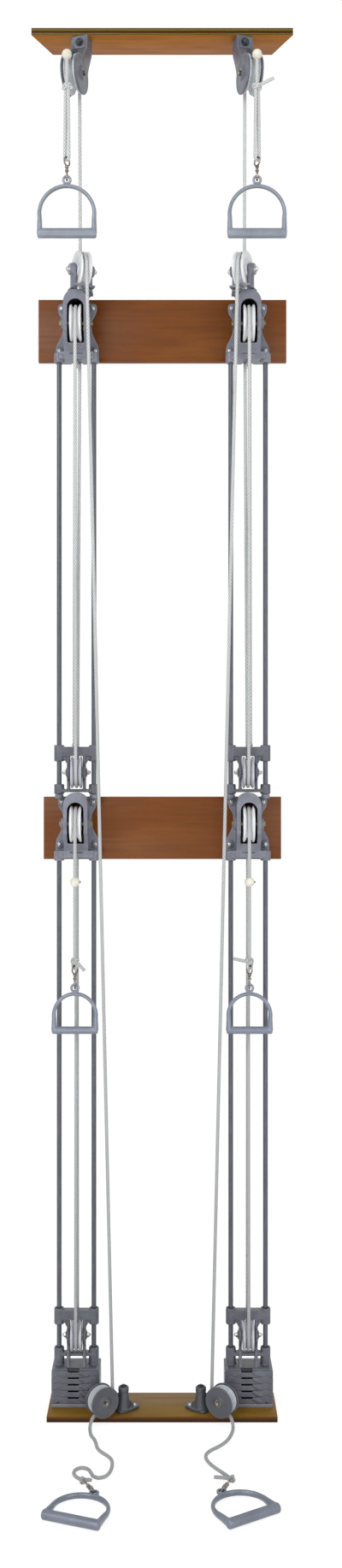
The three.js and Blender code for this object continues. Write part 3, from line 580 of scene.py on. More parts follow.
def layered_board(name, tones, shade, low, layers):
    """Varnished plywood: veneer on the faces, and glued layers on the edges, from the lowest up."""
    f = Finish(name, coat_weight=0.02, coat_roughness=0.2, specular_ior_level=0.1)
    fibre = f.noise(3.2, 7.0, f.mapped((2.4, 30, 34)), 0.62)
    face = f.ramp(f.noise(2.0, 3.0, f.mapped((1.6, 5, 5))), *zip((0.3, 0.7), tones))
    face = f.mix(face, shade, f.spread(fibre, 0.0, 0.6, 0.42, 0.7))
    wavy = f.maths("MULTIPLY", f.noise(14.0, 3.0), 0.0012)
    level = f.maths("ADD", f.part_of(f.place, "Z"), wavy)
    edge = f.ramp(f.spread(level, 0.0, 1.0, low * MM, (low + LAYERED_HEIGHT) * MM), *layers)
    end_grain = f.noise(240.0, 3.0, f.mapped((1, 1, 3)))
    edge = f.mix(edge, "#1d120a", f.spread(end_grain, 0.0, 0.4, 0.5, 0.75))
    upright = f.maths("ABSOLUTE", f.part_of(f.geometry("Normal"), "Z"))
    tone = f.mix(edge, face, f.spread(upright, 0.0, 1.0, 0.5, 0.8))
    return f.give(Base_Color=tone, Roughness=f.spread(fibre, 0.28, 0.45), Normal=f.bump(fibre, 0.0003, 0.25))


def nylon(name, base, shade):
    """Moulded nylon, a little see-through, with painted shade in its hollows, the rope's groove among them.
    """
    f = Finish(name, subsurface_weight=0.18, subsurface_scale=0.004)
    cloud = f.noise(55.0, 4.0)
    tone = f.ramp(cloud, (0.3, shade), (0.65, base))
    # Painted shade: where the surface curves inward, the hollows are darkened.
    tone = f.mix(tone, "#8d9298", f.spread(f.geometry("Pointiness"), 0.55, 0.0, 0.40, 0.495))
    relief = f.bump(f.noise(300.0), 0.0001, 0.3)
    return f.give(Base_Color=tone, Roughness=f.spread(cloud, 0.32, 0.5), Normal=relief)


def braided_cord(name, pale, shade):
    """Braided cord: its strands' ridges are in the mesh, and their height is read here.

    The rope greys on its way down, darker towards the floor.
    """
    f = Finish(name, sheen_weight=0.2, sheen_roughness=0.5, roughness=0.82)
    weave = f.attribute("weave")
    fibre = f.noise(900.0, 2.0)
    # Painted shade: the grooves between strands, where the weave is low, take the shade colour.
    tone = f.ramp(weave, (0.0, shade), (0.6, pale), (1.0, pale))
    tone = f.mix(tone, shade, f.spread(fibre, 0.0, 0.25, 0.45, 0.7))
    tone = f.mix(tone, "#b3b1aa", f.spread(f.noise(11.0, 3.0), 0.0, 0.3, 0.5, 0.75))
    # Darker towards the floor.
    tone = f.mix(tone, "#7b7c7f", f.spread(f.part_of(f.place, "Z"), 0.66, 0.0, -1.2, 1.0))
    return f.give(Base_Color=tone, Normal=f.bump(fibre, 0.0003, 0.4, f.bump(weave, 0.0004, 0.3)))


def silver_plastic(name, base, shade):
    """Plastic with a silver finish: fine flakes, and a moulded skin."""
    f = Finish(name, metallic=0.35, coat_weight=0.3, coat_roughness=0.22)
    glint = f.part_of(f.cells(900.0)["Color"], "X")
    cloud = f.noise(24.0, 4.0)
    tone = f.ramp(cloud, (0.3, shade), (0.7, base))
    tone = f.mix(tone, "#e2e6ec", f.spread(glint, 0.0, 0.06, 0.6, 1.0))
    tone = f.mix(tone, "#d3d7de", f.spread(f.geometry("Pointiness"), 0.0, 0.4, 0.52, 0.6))
    relief = f.bump(glint, 0.00004, 0.25)
    return f.give(Base_Color=tone, Roughness=f.spread(cloud, 0.3, 0.42), Normal=relief)


def bright_metal(name, base, shade, metallic=1.0, roughness=(0.12, 0.3)):
    """Plated metal with faint rub marks and dull spots."""
    f = Finish(name, metallic=metallic)
    spots = f.noise(150.0, 4.0)
    tone = f.ramp(spots, (0.35, shade), (0.6, base))
    rubbed = f.bump(f.noise(40.0, 3.0, f.mapped((5, 5, 60))), 0.00015, 0.2)
    return f.give(Base_Color=tone, Roughness=f.spread(spots, *roughness), Normal=rubbed)


def cream_bead(name):
    f = Finish(name, subsurface_weight=0.1, subsurface_scale=0.003, coat_weight=0.2)
    cloud = f.noise(70.0, 4.0)
    tone = f.ramp(cloud, (0.3, "#cfcab8"), (0.65, "#ece9dc"))
    relief = f.bump(f.noise(260.0), 0.0002, 0.3)
    return f.give(Base_Color=tone, Roughness=f.spread(cloud, 0.35, 0.55), Normal=relief)


ENAMEL = hammered_enamel("grey_hammered_enamel", "#767985", "#666873", "#878a97")
ENAMEL_DARK = hammered_enamel("stack_enamel", "#575963", "#474952", "#666974")
ENAMEL_TOP = hammered_enamel("overhead_enamel", "#616571", "#50545e", "#757a87")
ENAMEL_FLOOR = hammered_enamel("floor_block_enamel", "#44464e", "#37393f", "#52545d")
RODS = rod_steel("rod_enamel")
VARNISH = varnished_board("board_varnish", ("#764114", "#723d10", "#7f4a16"), "#5f330c")
PLY_TOP = layered_board(
    "top_board_plywood", ("#9f5c10", "#af6d14"), "#894a08", TOP_BOARD_HEIGHT - ORIGIN_HEIGHT,
    [(0.0, "#3b2c1e"), (0.12, "#45341f"), (0.17, "#80711c"), (0.25, "#80711c"), (0.31, "#3f290a"),
     (0.4, "#462716"), (0.66, "#462716"), (0.72, "#80701f"), (0.82, "#80701f"), (0.88, "#3b3012")],
)
PLY_BASE = layered_board(
    "base_board_plywood", ("#7b5b1c", "#8a6823"), "#6a4c13", -ORIGIN_HEIGHT,
    [(0.0, "#2d190d"), (0.3, "#3f2512"), (0.36, "#241409"), (0.44, "#4a2d14"), (0.72, "#5e3b18")],
)
WHITE_NYLON = nylon("white_nylon", "#eceeef", "#dfe2e4")
GREY_NYLON = nylon("grey_nylon", "#c3c8cc", "#b0b6bb")
# Painted shade: a darker copy of the white nylon, for the carriages' sheaves, which sit in shadow.
SHADED_NYLON = nylon("dusty_nylon", "#c4c5cd", "#adafb9")
ROPE_FINISH = braided_cord("braided_rope", "#dedfdf", "#a6a8a9")
# Painted light: one silver plastic in three tints, lightest for the lit overhead handles, darker in shade at
# the chest and darkest at the floor.
SILVER_LIT_AND_SHADED = {
    "overhead": silver_plastic("silver_plastic_overhead", "#8a909d", "#79808c"),
    "chest": silver_plastic("silver_plastic_chest", "#7f8595", "#717787"),
    "floor": silver_plastic("silver_plastic_floor", "#727886", "#656b78"),
}
CHROME = bright_metal("hook_chrome", "#918c84", "#57534d")
ZINC = bright_metal("zinc_screw", "#d2d3d2", "#a5a6a6", roughness=(0.22, 0.4))
BRASS = bright_metal("brass_bolt", "#968a6f", "#665c48", roughness=(0.25, 0.45))
DARK_STEEL = bright_metal("dark_bolt", "#4a4b50", "#2e2f33", 0.7, (0.35, 0.55))
CREAM = cream_bead("cream_bead")


# Trees of Geometry Nodes

class Tree(Nodes):
    """A Geometry Nodes tree with named inputs."""

    def __init__(self, name, inputs):
        super().__init__(bpy.data.node_groups.new(name, "GeometryNodeTree"))
        face = self.tree.interface
        for way in ("INPUT", "OUTPUT"):
            face.new_socket("Geometry", in_out=way, socket_type="NodeSocketGeometry")
        for label, (kind, value) in inputs.items():
            socket = face.new_socket(label, in_out="INPUT", socket_type="NodeSocket" + kind)
            if value is not None:
                socket.default_value = value
        self.inlet = self.node("NodeGroupInput")
        self.outlet = self.tree.nodes.new("NodeGroupOutput").inputs

    def stored(self, geometry, name, value):
        inputs = {"Geometry": geometry, "Name": name, "Value": value}
        return self.node("GeometryNodeStoreNamedAttribute", inputs, data_type="FLOAT", domain="POINT")[0]

    def named(self, name):
        return self.node("GeometryNodeInputNamedAttribute", {"Name": name}, data_type="FLOAT")[0]

    def end(self, geometry):
        real = self.node("GeometryNodeRealizeInstances", {"Geometry": geometry})[0]
        done = self.node("GeometryNodeSetMaterial", {"Geometry": real, "Material": self.inlet["Finish"]})[0]
        self.tree.links.new(done, self.outlet["Geometry"])
        return self.tree


def grown(name, source, tree, values):
    """The mesh that a tree makes from a source mesh or curve."""
    thing = stand(name, source)
    growth = thing.modifiers.new("growth", "NODES")
    growth.node_group = tree
    for item in tree.interface.items_tree:
        if item.in_out == "INPUT" and item.name in values:
            growth[item.identifier] = values[item.name]
    return settled(thing)


def rope_tree():
    """A braided rope along a curve: its skin is lifted where the strands cross over."""
    t = Tree("braided_rope", {
        "Radius": ("Float", ROPE["radius"] * MM), "Strand Step": ("Float", 0.0012),
        "Plait Pitch": ("Float", 0.0072), "Strands": ("Float", 4.0), "Ridge": ("Float", 0.0002),
        "Sides": ("Int", 16), "Finish": ("Material", None),
    })
    steps = {"Curve": t.inlet["Geometry"], "Length": t.inlet["Strand Step"]}
    line, sides = t.node("GeometryNodeResampleCurve", steps, mode="LENGTH")[0], t.inlet["Sides"]
    ring = t.node("GeometryNodeCurvePrimitiveCircle", {"Resolution": sides, "Radius": t.inlet["Radius"]})[0]
    place = t.node("GeometryNodeSplineParameter")
    line, ring = t.stored(line, "along", place["Length"]), t.stored(ring, "around", place["Factor"])
    skin = t.node("GeometryNodeCurveToMesh", {"Curve": line, "Profile Curve": ring, "Fill Caps": True})[0]
    full_turn = 2 * math.pi
    lead = t.maths("MULTIPLY", t.maths("DIVIDE", t.named("along"), t.inlet["Plait Pitch"]), full_turn)
    turn = t.maths("MULTIPLY", t.maths("MULTIPLY", t.named("around"), full_turn), t.inlet["Strands"])
    over, under = (t.maths("SINE", t.maths(way, turn, lead)) for way in ("ADD", "SUBTRACT"))
    weave = t.maths("MAXIMUM", over, under)
    lift = t.maths("MULTIPLY", weave, t.inlet["Ridge"])
    outward = t.node("GeometryNodeInputNormal")[0]
    offset = t.node("ShaderNodeVectorMath", {0: outward, "Scale": lift}, operation="SCALE")[0]
    skin = t.stored(skin, "weave", weave)
    return t.end(t.node("GeometryNodeSetPosition", {"Geometry": skin, "Offset": offset})[0])


def screw_tree():
    """Screws at a mesh's points, each turned its own way about the wall's normal."""
    t = Tree("scattered_screws", {
        "Screw": ("Object", None), "Head Size": ("Float", 1.0), "Seed": ("Int", 7),
        "Finish": ("Material", None),
    })
    info = t.node("GeometryNodeObjectInfo", {"Object": t.inlet["Screw"], "As Instance": True})
    dots = t.node("GeometryNodeMeshToPoints", {"Mesh": t.inlet["Geometry"]})[0]
    turn = t.node("FunctionNodeRandomValue", {"Seed": t.inlet["Seed"]}, data_type="FLOAT")
    angle = t.maths("MULTIPLY", turn["Value"], math.pi)
    lean = t.node("ShaderNodeCombineXYZ", {"Y": angle})[0]
    heads = t.node("GeometryNodeInstanceOnPoints", {
        "Points": dots, "Instance": info["Geometry"], "Rotation": lean, "Scale": t.inlet["Head Size"]})[0]
    return t.end(heads)


ROPE_TREE = rope_tree()
SCREW_TREE = screw_tree()


def rope_piece(name, side, routes, body=FRAME_BODY, node=None):
    """A rope along one or more routes, given in the column's millimetres."""
    lines = bpy.data.curves.new("lines", "CURVE")
    lines.dimensions = "3D"
    for route in routes:
        spline = lines.splines.new("POLY")
        spline.points.add(len(route) - 1)
        for slot, point in zip(spline.points, route):
            slot.co = (*metres(side, point), 1)
    mesh = grown(name, lines, ROPE_TREE, {"Finish": ROPE_FINISH})
    return keep(f"{name}_{side}", mesh, ROPE_FINISH, body, node and f"{node}_{side}", sharp=80)


# Camera, lights and surroundings

def set_camera():
    data = bpy.data.cameras.new("camera")
    data.sensor_fit, data.sensor_height = "VERTICAL", SENSOR
    data.lens = SENSOR * -CAMERA_PLACE[1] / PICTURE_HEIGHT
    camera = bpy.context.scene.camera = stand("camera", data)
    camera.location, camera.rotation_euler = CAMERA_PLACE, (math.pi / 2, 0, 0)


def area_light(name, place, target, size, power):
    data = bpy.data.lights.new(name, "AREA")
    data.shape, data.size, data.size_y, data.energy = "RECTANGLE", size[0], size[1], power
    lamp = stand(name, data)
    lamp.location = place
    lamp.rotation_euler = (Vector(target) - Vector(place)).to_track_quat("-Z", "Y").to_euler()


def seen_directly(nodes):
    """1 for rays from the camera or off glossy and clear surfaces, else 0."""
    path = nodes.node("ShaderNodeLightPath")
    total = path["Is Camera Ray"]
    for other in ("Is Glossy Ray", "Is Transmission Ray"):
        total = nodes.maths("MAXIMUM", total, path[other])
    return total


def white_world(strength):
    """White behind everything; the light that it gives has its own strength."""
    world = bpy.data.worlds.new("studio")
    world.use_nodes = True
    bpy.context.scene.world = world
    nodes = Nodes(world.node_tree)
    seen = seen_directly(nodes)
    level = nodes.node("ShaderNodeMapRange", {"Value": seen, "To Min": strength, "To Max": 1.0})[0]
    back = nodes.tree.nodes["Background"].inputs
    back["Color"].default_value = WHITE
    nodes.tree.links.new(level, back["Strength"])


def pale_floor(height, share, glow_strength):
    """A white floor that keeps soft shadows; seen directly, a share of it glows white."""
    floor = stand("studio_floor", mesh_of([block((-6, 6), (-6, 6), (height - 0.02, height))]))
    material = bpy.data.materials.new("studio_floor")
    material.use_nodes = True
    nodes = Nodes(material.node_tree)
    nodes.tree.nodes.remove(nodes.tree.nodes["Principled BSDF"])
    matt = nodes.node("ShaderNodeBsdfDiffuse", {"Color": (0.92, 0.92, 0.92, 1)})[0]
    glow = nodes.node("ShaderNodeEmission", {"Color": WHITE, "Strength": glow_strength})[0]
    glowing = nodes.maths("MULTIPLY", seen_directly(nodes), share)
    blend = nodes.node("ShaderNodeMixShader", {0: glowing, 1: matt, 2: glow})[0]
    nodes.tree.links.new(blend, nodes.tree.nodes["Material Output"].inputs["Surface"])
    floor.data.materials.append(material)


bpy.context.scene.view_settings.view_transform = "Standard"
set_camera()
white_world(0.62)
area_light("key", (-1.9, -3.4, 1.9), (0, 0, 0.3), (2.2, 2.6), 62)
area_light("fill", (2.3, -3.2, 0.4), (0, 0, -0.1), (2.0, 2.8), 34)
area_light("low_fill", (-0.6, -2.6, -0.8), (0, 0, -0.9), (1.6, 0.8), 9)
pale_floor(-ORIGIN_HEIGHT * MM - 0.0004, 0.68, 1.2)


# Knots, hooks and handles

def knot_path(centre, size=1.85, tilt=(0.5, 0.3, 0.0)):
    """The line of an overhand knot, drawn tight."""
    x, y, z = (Matrix.Rotation(angle, 3, axis) for angle, axis in zip(tilt, "XYZ"))
    turn = x @ y @ z
    steps = 44
    line = []
    for i in range(steps + 1):
        t = 2 * math.pi * (i + 0.5) / (steps + 0.6)
        across = (math.sin(t) + 2 * math.sin(2 * t), math.cos(t) - 2 * math.cos(2 * t))
        line.append(Vector(centre) + turn @ (Vector((*across, -1.3 * math.sin(3 * t))) * size))
    return line


def ring_pendant(x, y, knot, ring, spread=3.3):
    """The loop of rope from a knot round the top of a hook's ring and back."""
    turn, bottom = 5.15, ring + RING_RADIUS
    yaw = math.radians(RING_YAW)

    def at(across, height):
        return Vector((x + across * math.cos(yaw), y + across * math.sin(yaw), height))

    angles = [math.pi * (1 + i / 12) for i in range(13)]
    arc = [at(-turn * math.cos(a), bottom + turn * math.sin(a)) for a in angles]
    return [at(spread, knot)] + arc + [at(-spread, knot)]


def hook_mesh():
    """Snap hook: ring, swivel barrel, and a hook with its sprung gate, down from the ring's centre."""
    yaw = math.radians(RING_YAW)
    sideways = Vector((-math.sin(yaw), math.cos(yaw), 0))
    ring = [sideways * (RING_RADIUS * math.cos(a)) + Vector((0, 0, RING_RADIUS * math.sin(a)))
            for a in (2 * math.pi * i / 36 for i in range(36))]
    barrel = [(0, -20.6), (2.6, -20.6), (3.9, -19.6), (3.9, -17.4), (2.7, -16.4), (2.5, -13.2), (3.4, -12.4),
              (4.0, -11.2), (4.0, -9.6), (3.0, -8.0), (1.4, -7.2), (0, -7.2)]
    loop = [Vector((0, 6 * math.cos(a), -28.1 + 9.6 * math.sin(a)))
            for a in (math.pi / 2 + 2 * math.pi * i / 40 for i in range(40))]
    thickness = [1.9 if i < 22 else 1.35 for i in range(40)]
    gate = smoothed([(0, 5.4, -33.6), (0, 6.2, -28.5), (0, 5.2, -23.2), (0, 2.4, -19.8)], 4)
    return mesh_of([
        swept(ring, 1.6, 10, closed=True), turned(barrel, "z", segments=24),
        swept(loop, thickness, 10, closed=True), swept(gate, 1.75, 10),
        dome(1.7, 6.6, 1.8, "y", (0, 0, -26.5), 12), rod(1.5, (-1.9, 1.9), "x", (0, 5.2, -33.6), 0.3, 12),
    ])


def handle_mesh(width):
    """D handle, hanging down from the centre of its eye."""
    half, grip = width / 2, width * GRIP_SHARE
    top, bar = -8, -8 - width * 0.915 + grip
    rail = half - 4
    crown = top - 4 - rail
    angles = [math.pi * i / 24 for i in range(25)]
    arc = [(rail * math.cos(a), 0, crown + rail * math.sin(a)) for a in angles]
    legs = [bar + (crown - bar) * i / 5 for i in range(5)]
    line = [(rail - 0.6, 0, z) for z in legs] + arc + [(0.6 - rail, 0, z) for z in reversed(legs)]
    swell = [max(0.0, 1 - (z - bar) / (0.42 * width)) for _, _, z in line]
    eye = [(5.9, -2.9), (8.7, -2.9), (9.6, -1.8), (9.6, 1.8), (8.7, 2.9), (5.9, 2.9), (5, 1.8), (5, -1.8)]
    waist = [(grip * 0.985, -half * 0.55), (grip, 0), (grip * 0.985, half * 0.55)]
    grip_profile = [(0, -half), (grip - 2.2, -half), (grip, 2.4 - half), *waist,
                    (grip, half - 2.4), (grip - 2.2, half), (0, half)]
    return cast([
        swept(line, [3.9 + 1.9 * s for s in swell], 16, flat=1.45),
        turned(eye, "y", segments=36, ring=True),
        turned(grip_profile, "x", (0, 0, bar), 40),
        block((-5.5, 5.5), (-3.2, 3.2), (top - 6, top + 1)),
    ], softening=4, share=0.32)


HOOK = hook_mesh()
HANDLES = {station: handle_mesh(width) for station, width in HANDLE_WIDTH.items()}


# The floor tails, which are free cords, and what is on them

def floor_place(side):
    """Where the ring and the eye of a floor hook lie, and the ways that hook and handle point."""
    knot = Vector(TAIL_ROUTES[side][-1][:2])
    eye, bar = (Vector(FLOOR_LAY[side][key]) for key in ("eye", "bar"))
    way = (eye - knot).normalized()
    ring = knot + way * (ROPE["knot"] + RING_RADIUS + 0.8)
    seat = ring + way * EYE_DROP
    return ring, seat, way, (bar - seat).normalized()


def laid(point, way):
    """Lays a hanging piece on the floor, its lower end along a way."""
    lay = Matrix.Rotation(math.atan2(way.x, -way.y), 4, "Z") @ Matrix.Rotation(-math.pi / 2, 4, "X")
    height = HANDLE_WIDTH["floor"] * GRIP_SHARE
    return Matrix.Translation((point.x - COLUMN_OFFSET, point.y, height)) @ lay


def lay_floor_tail(side):
    """The floor rope's free end: from under its sheave along the floor to its knot, hook and handle."""
    column = [Vector((x - COLUMN_OFFSET, y, z)) for x, y, z in TAIL_ROUTES[side]]
    under_wheel = [in_plane("floor", along, -FLOOR_WHEEL["seat"]) for along in (-10.3, -13.25)]
    route = smoothed(under_wheel + column, 5)
    ring, seat, hook_way, handle_way = floor_place(side)
    end, loose_end = column[-1], Vector(LOOSE_ENDS["floor", side][0])
    tail = smoothed([end, end + loose_end * 0.4 + Vector((0, 0, 1.2)), end + loose_end], 5)
    tie = knot_path(end + Vector((0, 0, 1)), 1.55, (1.45, 0.2, 0.6))
    knot = rope_piece("floor_knot", side, [tie, tail])
    node = "floor_hook_and_handle"
    hook = part("floor_hook", side, HOOK, laid(ring, hook_way), CHROME, node=node)
    part("floor_handle", side, HANDLES["floor"], laid(seat, handle_way), SILVER_LIT_AND_SHADED["floor"],
         node=node)
    rope = rope_piece("floor_tail_rope", side, [route], node="floor_tail")


for wing in SIDES:
    lay_floor_tail(wing)


# Boards

def board(name, shell, edge, finish):
    mesh = bevelled([shell], edge)
    mesh.transform(Matrix.Scale(MM, 4) @ at_height(-ORIGIN_HEIGHT))
    keep(f"{name}_panel", mesh, finish, FRAME_BODY, name)


def wall_board(name, width, centre):
    half = WALL_BOARD["height"] / 2
    shell = block((-width / 2, width / 2), (WALL_BOARD["face"], 0), (centre - half, centre + half))
    board(name, shell, 1.1, VARNISH)


def flat_board(name, back, front, depth, heights, finish):
    """A board that stands out from the wall, with its own width at the back and at the front."""
    outline = [(-back, 0), (back, 0), (front, -depth), (-front, -depth)]
    board(name, plan_slab(outline, heights), 0.9, finish)


wall_board("upper_wall_board", 520, BRACKET["upper"])
wall_board("chest_wall_board", 498, ORIGIN_HEIGHT)
flat_board("top_board", 230.5, 268.5, 80, (TOP_BOARD_HEIGHT, TOP_BOARD_HEIGHT + LAYERED_HEIGHT), PLY_TOP)
flat_board("base_board", 234, 234, 115, (0, 12), PLY_BASE)


# Castings

def bracket_mesh(extra):
    """Bracket casting about its axle: back plate with ears, arched housing, foot and sockets."""
    right = [(28, 56), (41, 54), (41, 36), (30, 20), (30, -6), (45.4, -36), (46, -58)]
    rounds = [9, 9, 12, 16, 14, 8, 3]
    outline = [(-x, z) for x, z in reversed(right)] + right
    window, face, half = 16.8, WALL_BOARD["face"], ROD["half"]
    plate = slab(rounded(outline, rounds[::-1] + rounds), (-17.5, face))
    adds = [plate, slab(arch(25, 64.5, FOOT), (-84, -13))]
    adds += both(lambda s: block((s * window, s * half), (-55, -13), (FOOT, -56)))
    adds += [block((-half, half), (-56.5, -46), (FOOT, -63))]
    adds += round_rods(11, (-77, -56), 1.5, 32)
    adds += both(lambda s: rod(12, (s * 20, s * 31), "x", BRACKET_AXLE, 1.5))
    for x, z in SCREW_BOSSES:
        adds += both(lambda s: rod(8, (-19.5, face), "y", (s * x, 0, z)))
    cuts = [
        side_slab([(-86, -17), (-86, -73), (-55, -73), (-55, -56)], (-27, 27)),
        slab(arch(window, 44, -41), (-90, -18)),
        side_slab([(-18, -30), (-60, -30), (-61, -40), (-50, -56), (-50, -59), (-18, -59)],
                  (-window, window)),
        block((-12, 12), (-21, -11), (-80, 70)),
        block((-13.5, 13.5), (-62, -52.5), (-61, -58.6)),
        rod(5, (-80, -50), "z", (0, -26, 0), 0, 16), rod(4.6, (-80, -50), "z", (0, -46, 0), 0, 16),
    ]
    mesh = cast(adds + extra, cuts, softening=3, share=0.28)
    # Painted shade: the housing's inside round the sheave is marked to be coloured near black.
    return painted_shade_inside(mesh, (-17.4, -82, -38), (17.4, face, 44.8))


def carriage_mesh(foot, extra=(), cuts=()):
    """Carriage casting about its axle: two bars, four sockets and the sheave's cheeks."""
    depths, half = (-51, -33), ROD["half"]
    adds = [block((-half, half), depths, heights) for heights in ((34, 53), (-41, -34.5))]
    adds += round_rods(10.5, (23, 57), 1.5, 32) + round_rods(10.5, (foot, -24), 1.5, 32)
    adds += both(lambda s: block((s * CHEEK[0], s * CHEEK[1]), depths, (max(foot, -40), 36)))
    adds += both(lambda s: rod(20, (s * CHEEK[0], s * CHEEK[1]), "x", CARRIAGE_AXLE, 1.2, 40))
    adds += both(lambda s: rod(9, (s * 18, s * 22), "x", CARRIAGE_AXLE, 1))
    web = [(CHEEK[0], 36), (30, 36), (19, 16), (CHEEK[0], 16)]
    adds += both(lambda s: slab([(s * x, z) for x, z in web], (-48, -36)))
    bores = round_rods(ROD["bore"], (-90, 70)) + round_rods(8.3, (54.6, 60)) + round_rods(8.3, (-26.4, -22))
    return cast(adds + list(extra), bores + list(cuts), softening=3, share=0.3)


def plate_shells(ridge=3.3):
    """A plate: a ridge over each rod above, the notch for the next one's below, and a bar on its front."""
    h, half, notch = PLATE["height"], PLATE["half"], 3.4
    low = [(-half, 0), (-43, 0), (-36, notch), (-29, 0), (29, 0), (36, notch), (43, 0), (half, 0)]
    high = [(half, h), (-half, h)]
    if ridge:
        high = [(x, h + ridge if z else h) for x, z in reversed(low)]
    bar = [(8, h), (12, h), (26, h - 7.5), (26, h - 12), (21, h - 12), (8, h - 5)]
    front = PLATE["front"]
    return [slab(low + high, (front, PLATE["back"])), slab(bar, (front - 2, front + 3))]


def plate_cuts(base=0.0):
    """The rods' bores and the slot for the selector pin, in a plate with its foot at a height."""
    h, front = PLATE["height"], PLATE["front"]
    pin = block((-16, 7), (front - 3, front + 8), (base + h - 3.2, base + h + 5))
    return round_rods(ROD["bore"], (base - 2, base + 20)) + [pin]


# Painted shade: the inside of the selector pin's slot is marked to be coloured near black.
def painted_shade_slot(mesh, low, high):
    front = PLATE["front"]
    return painted_shade_inside(mesh, (-16.6, front + 0.5, low), (7.6, front + 9, high))


def plate_mesh():
    height = PLATE["height"]
    mesh = cast(plate_shells(), plate_cuts(), grain=0.9, softening=1, share=0.3)
    return painted_shade_slot(mesh, height - 3.7, height)


def head_carriage_mesh():
    """The chest carriage on its head plate, with the feet of its cheeks."""
    base = PLATE["first"] + 4 * PLATE["pitch"] - CARRIAGE["chest"]
    top = base + PLATE["height"]
    extra = [([(x, y, z + base) for x, y, z in corners], faces) for corners, faces in plate_shells(0)]
    extra += both(lambda s: side_slab([(-66, top - 1), (-20, top - 1), (-33, -30), (-51, -30)],
                                      (s * CHEEK[0], s * CHEEK[1])))
    extra += [block((-44, 44), (-70, -16), (top - 1, top + 2.5))]
    return painted_shade_slot(carriage_mesh(top - 1, extra, plate_cuts(base)), top - 3.7, top + 3)


def yoke_mesh():
    """Guide yoke in its pulley's frame: slotted foot, tapered arms and bosses."""
    arm = [(-13, -38), (13, -38), (9, -14), (9.5, 0), (-9.5, 0), (-9, -14)]
    rib = [(-4, -37), (4, -37), (3, -10), (-3, -10)]
    adds = [slab(rounded([(-23, -39.2), (23, -39.2), (23, -35), (-23, -35)], 1.5), (-22, 22))]
    adds += both(lambda s: side_slab(arm, (s * 14, s * 20)))
    adds += both(lambda s: rod(13.5, (s * 14, s * 20), "x"))
    adds += both(lambda s: turned([(0, s * 19), (13, s * 19), (11, s * 26), (0, s * 26)], "x"))
    adds += both(lambda s: side_slab(rib, (s * 19, s * 23)))
    return cast(adds, [block((-13.4, 13.4), (-17.5, 17.5), (-42, -30))], softening=3, share=0.35)


def cheeks(profile, segments):
    """A pulley block's two round cheeks, each a profile of (radius, place along the axle)."""
    return both(lambda s: turned([(radius, s * along) for radius, along in profile], "x", segments=segments))


def overhead_mesh():
    """Overhead block in its pulley's frame: base, curved arms and round cheeks."""
    arm = rounded([(2, 30), (30, 70), (32, 95), (62, 95), (62, 66), (40, 26), (34, 8)], 8)
    profile = [(0, 13), (38.5, 13), (39.5, 14), (39.5, 16.2), (37.5, 17.5), (35, 16.6), (14, 16.6),
               (12.5, 19.4), (0, 20)]
    adds = [block((-17.5, 17.5), (32, 62), (69.2, 95.2))]
    adds += both(lambda s: side_slab(arm, (s * 13, s * 17.5)))
    return cast(adds + cheeks(profile, 56), softening=2, share=0.35)


def floor_block_mesh():
    """Floor block in its pulley's frame: cheeks, bridge, tapered post and screwed foot."""
    floor = -33.7
    profile = [(0, 10.8), (30.2, 10.8), (31, 11.6), (31, 13.6), (29.4, 14.8), (27, 13.9), (12, 13.9),
               (10.4, 16), (0, 16.2)]
    foot = rounded([(-24, -36), (10, -36), (8, -70), (0, -88), (-14, -88), (-22, -70)], 12)
    plinth = plan_slab(foot, (floor, floor + 5.7))
    post = turned([(0, floor), (16, floor), (14, floor + 9), (10, 4), (10.8, 6), (10.8, 13), (9.4, 15),
                   (0, 15)], "z", POST, 36)
    bridge = side_slab([(-53, floor + 3), (-12, floor + 3), (-12, -4), (-34, 2), (-53, 0)], (-14.8, -10.8))
    rib = side_slab([(-80, floor + 4), (-60, floor + 4), (-60, -8)], (-8.7, -4.7))
    return cast([plinth, post, bridge, rib] + cheeks(profile, 48), softening=2, share=0.35)


def pad_shells():
    """The guide yoke's seat on the roof, and the web that carries its overhanging end."""
    web = slab([(-34, 60), (-20, 60), (-20, 44)], (-72, -58))
    return [block((-35, 12.5), (-80, -50), (59, 64.5)), web]


def rod_seat_shells():
    """Seats of the upper rods, on the shoulders of the chest brackets."""
    top, face = 60.7, WALL_BOARD["face"]
    sockets = round_rods(9, (top - 9, top), 1, 32)
    shells = []
    for s, socket in zip((-1, 1), sockets):
        shells += [block((s * 30.6, s * 39.6), (-17, face), (top - 20, top)),
                   block((s * 30.6, s * 39.6), (-42, -13), (top - 9, top)), socket]
    return shells


MESHES = {
    "upper_bracket": bracket_mesh(pad_shells()),
    "chest_bracket": bracket_mesh(rod_seat_shells()),
    "upper_carriage": carriage_mesh(-45),
    "chest_carriage": head_carriage_mesh(),
    "plate": plate_mesh(),
    "guide_yoke": yoke_mesh(),
    "overhead_block": overhead_mesh(),
    "floor_block": floor_block_mesh(),
}


# Sheaves, bolts and screws

def wheel_mesh(size):
    """A sheave on the X axis: hub, dished web, and a grooved rim."""
    rim, half, groove = size["radius"], size["half"], size["seat"] - 4.45
    right = [(size["bore"], half), (12, half), (13.4, half - 1.6), (groove - 6, half - 2.4),
             (groove - 3, half - 0.6), (rim - 1.6, half), (rim, half - 1.4), (rim, half - 3.6),
             (groove + 2, 4.4), (groove, 3.2)]
    left = [(radius, -along) for radius, along in reversed(right)]
    return mesh_of([turned(right + left, "x", segments=60, ring=True)])


def axle_bolt(ends, reach, size, shank=5, at=(0, 0, 0), acorn=True):
    """A bolt along the X axis; at each end a washer, a hexagon and its crown."""
    shells = []
    for s in (-1, 1):
        shells.append(rod(size + 1.8, (s * ends, s * (ends + 1.1)), "x", at, 0.3, 28))
        shells.append(hexagon(size, sorted((s * (ends + 1), s * (ends + 4.2))), "x", at))
        if acorn:
            shells.append(dome(size * 0.74, s * (ends + 4), s * 4.2, "x", at))
    return mesh_of(shells + [rod(shank, (-reach, reach), "x", at)])


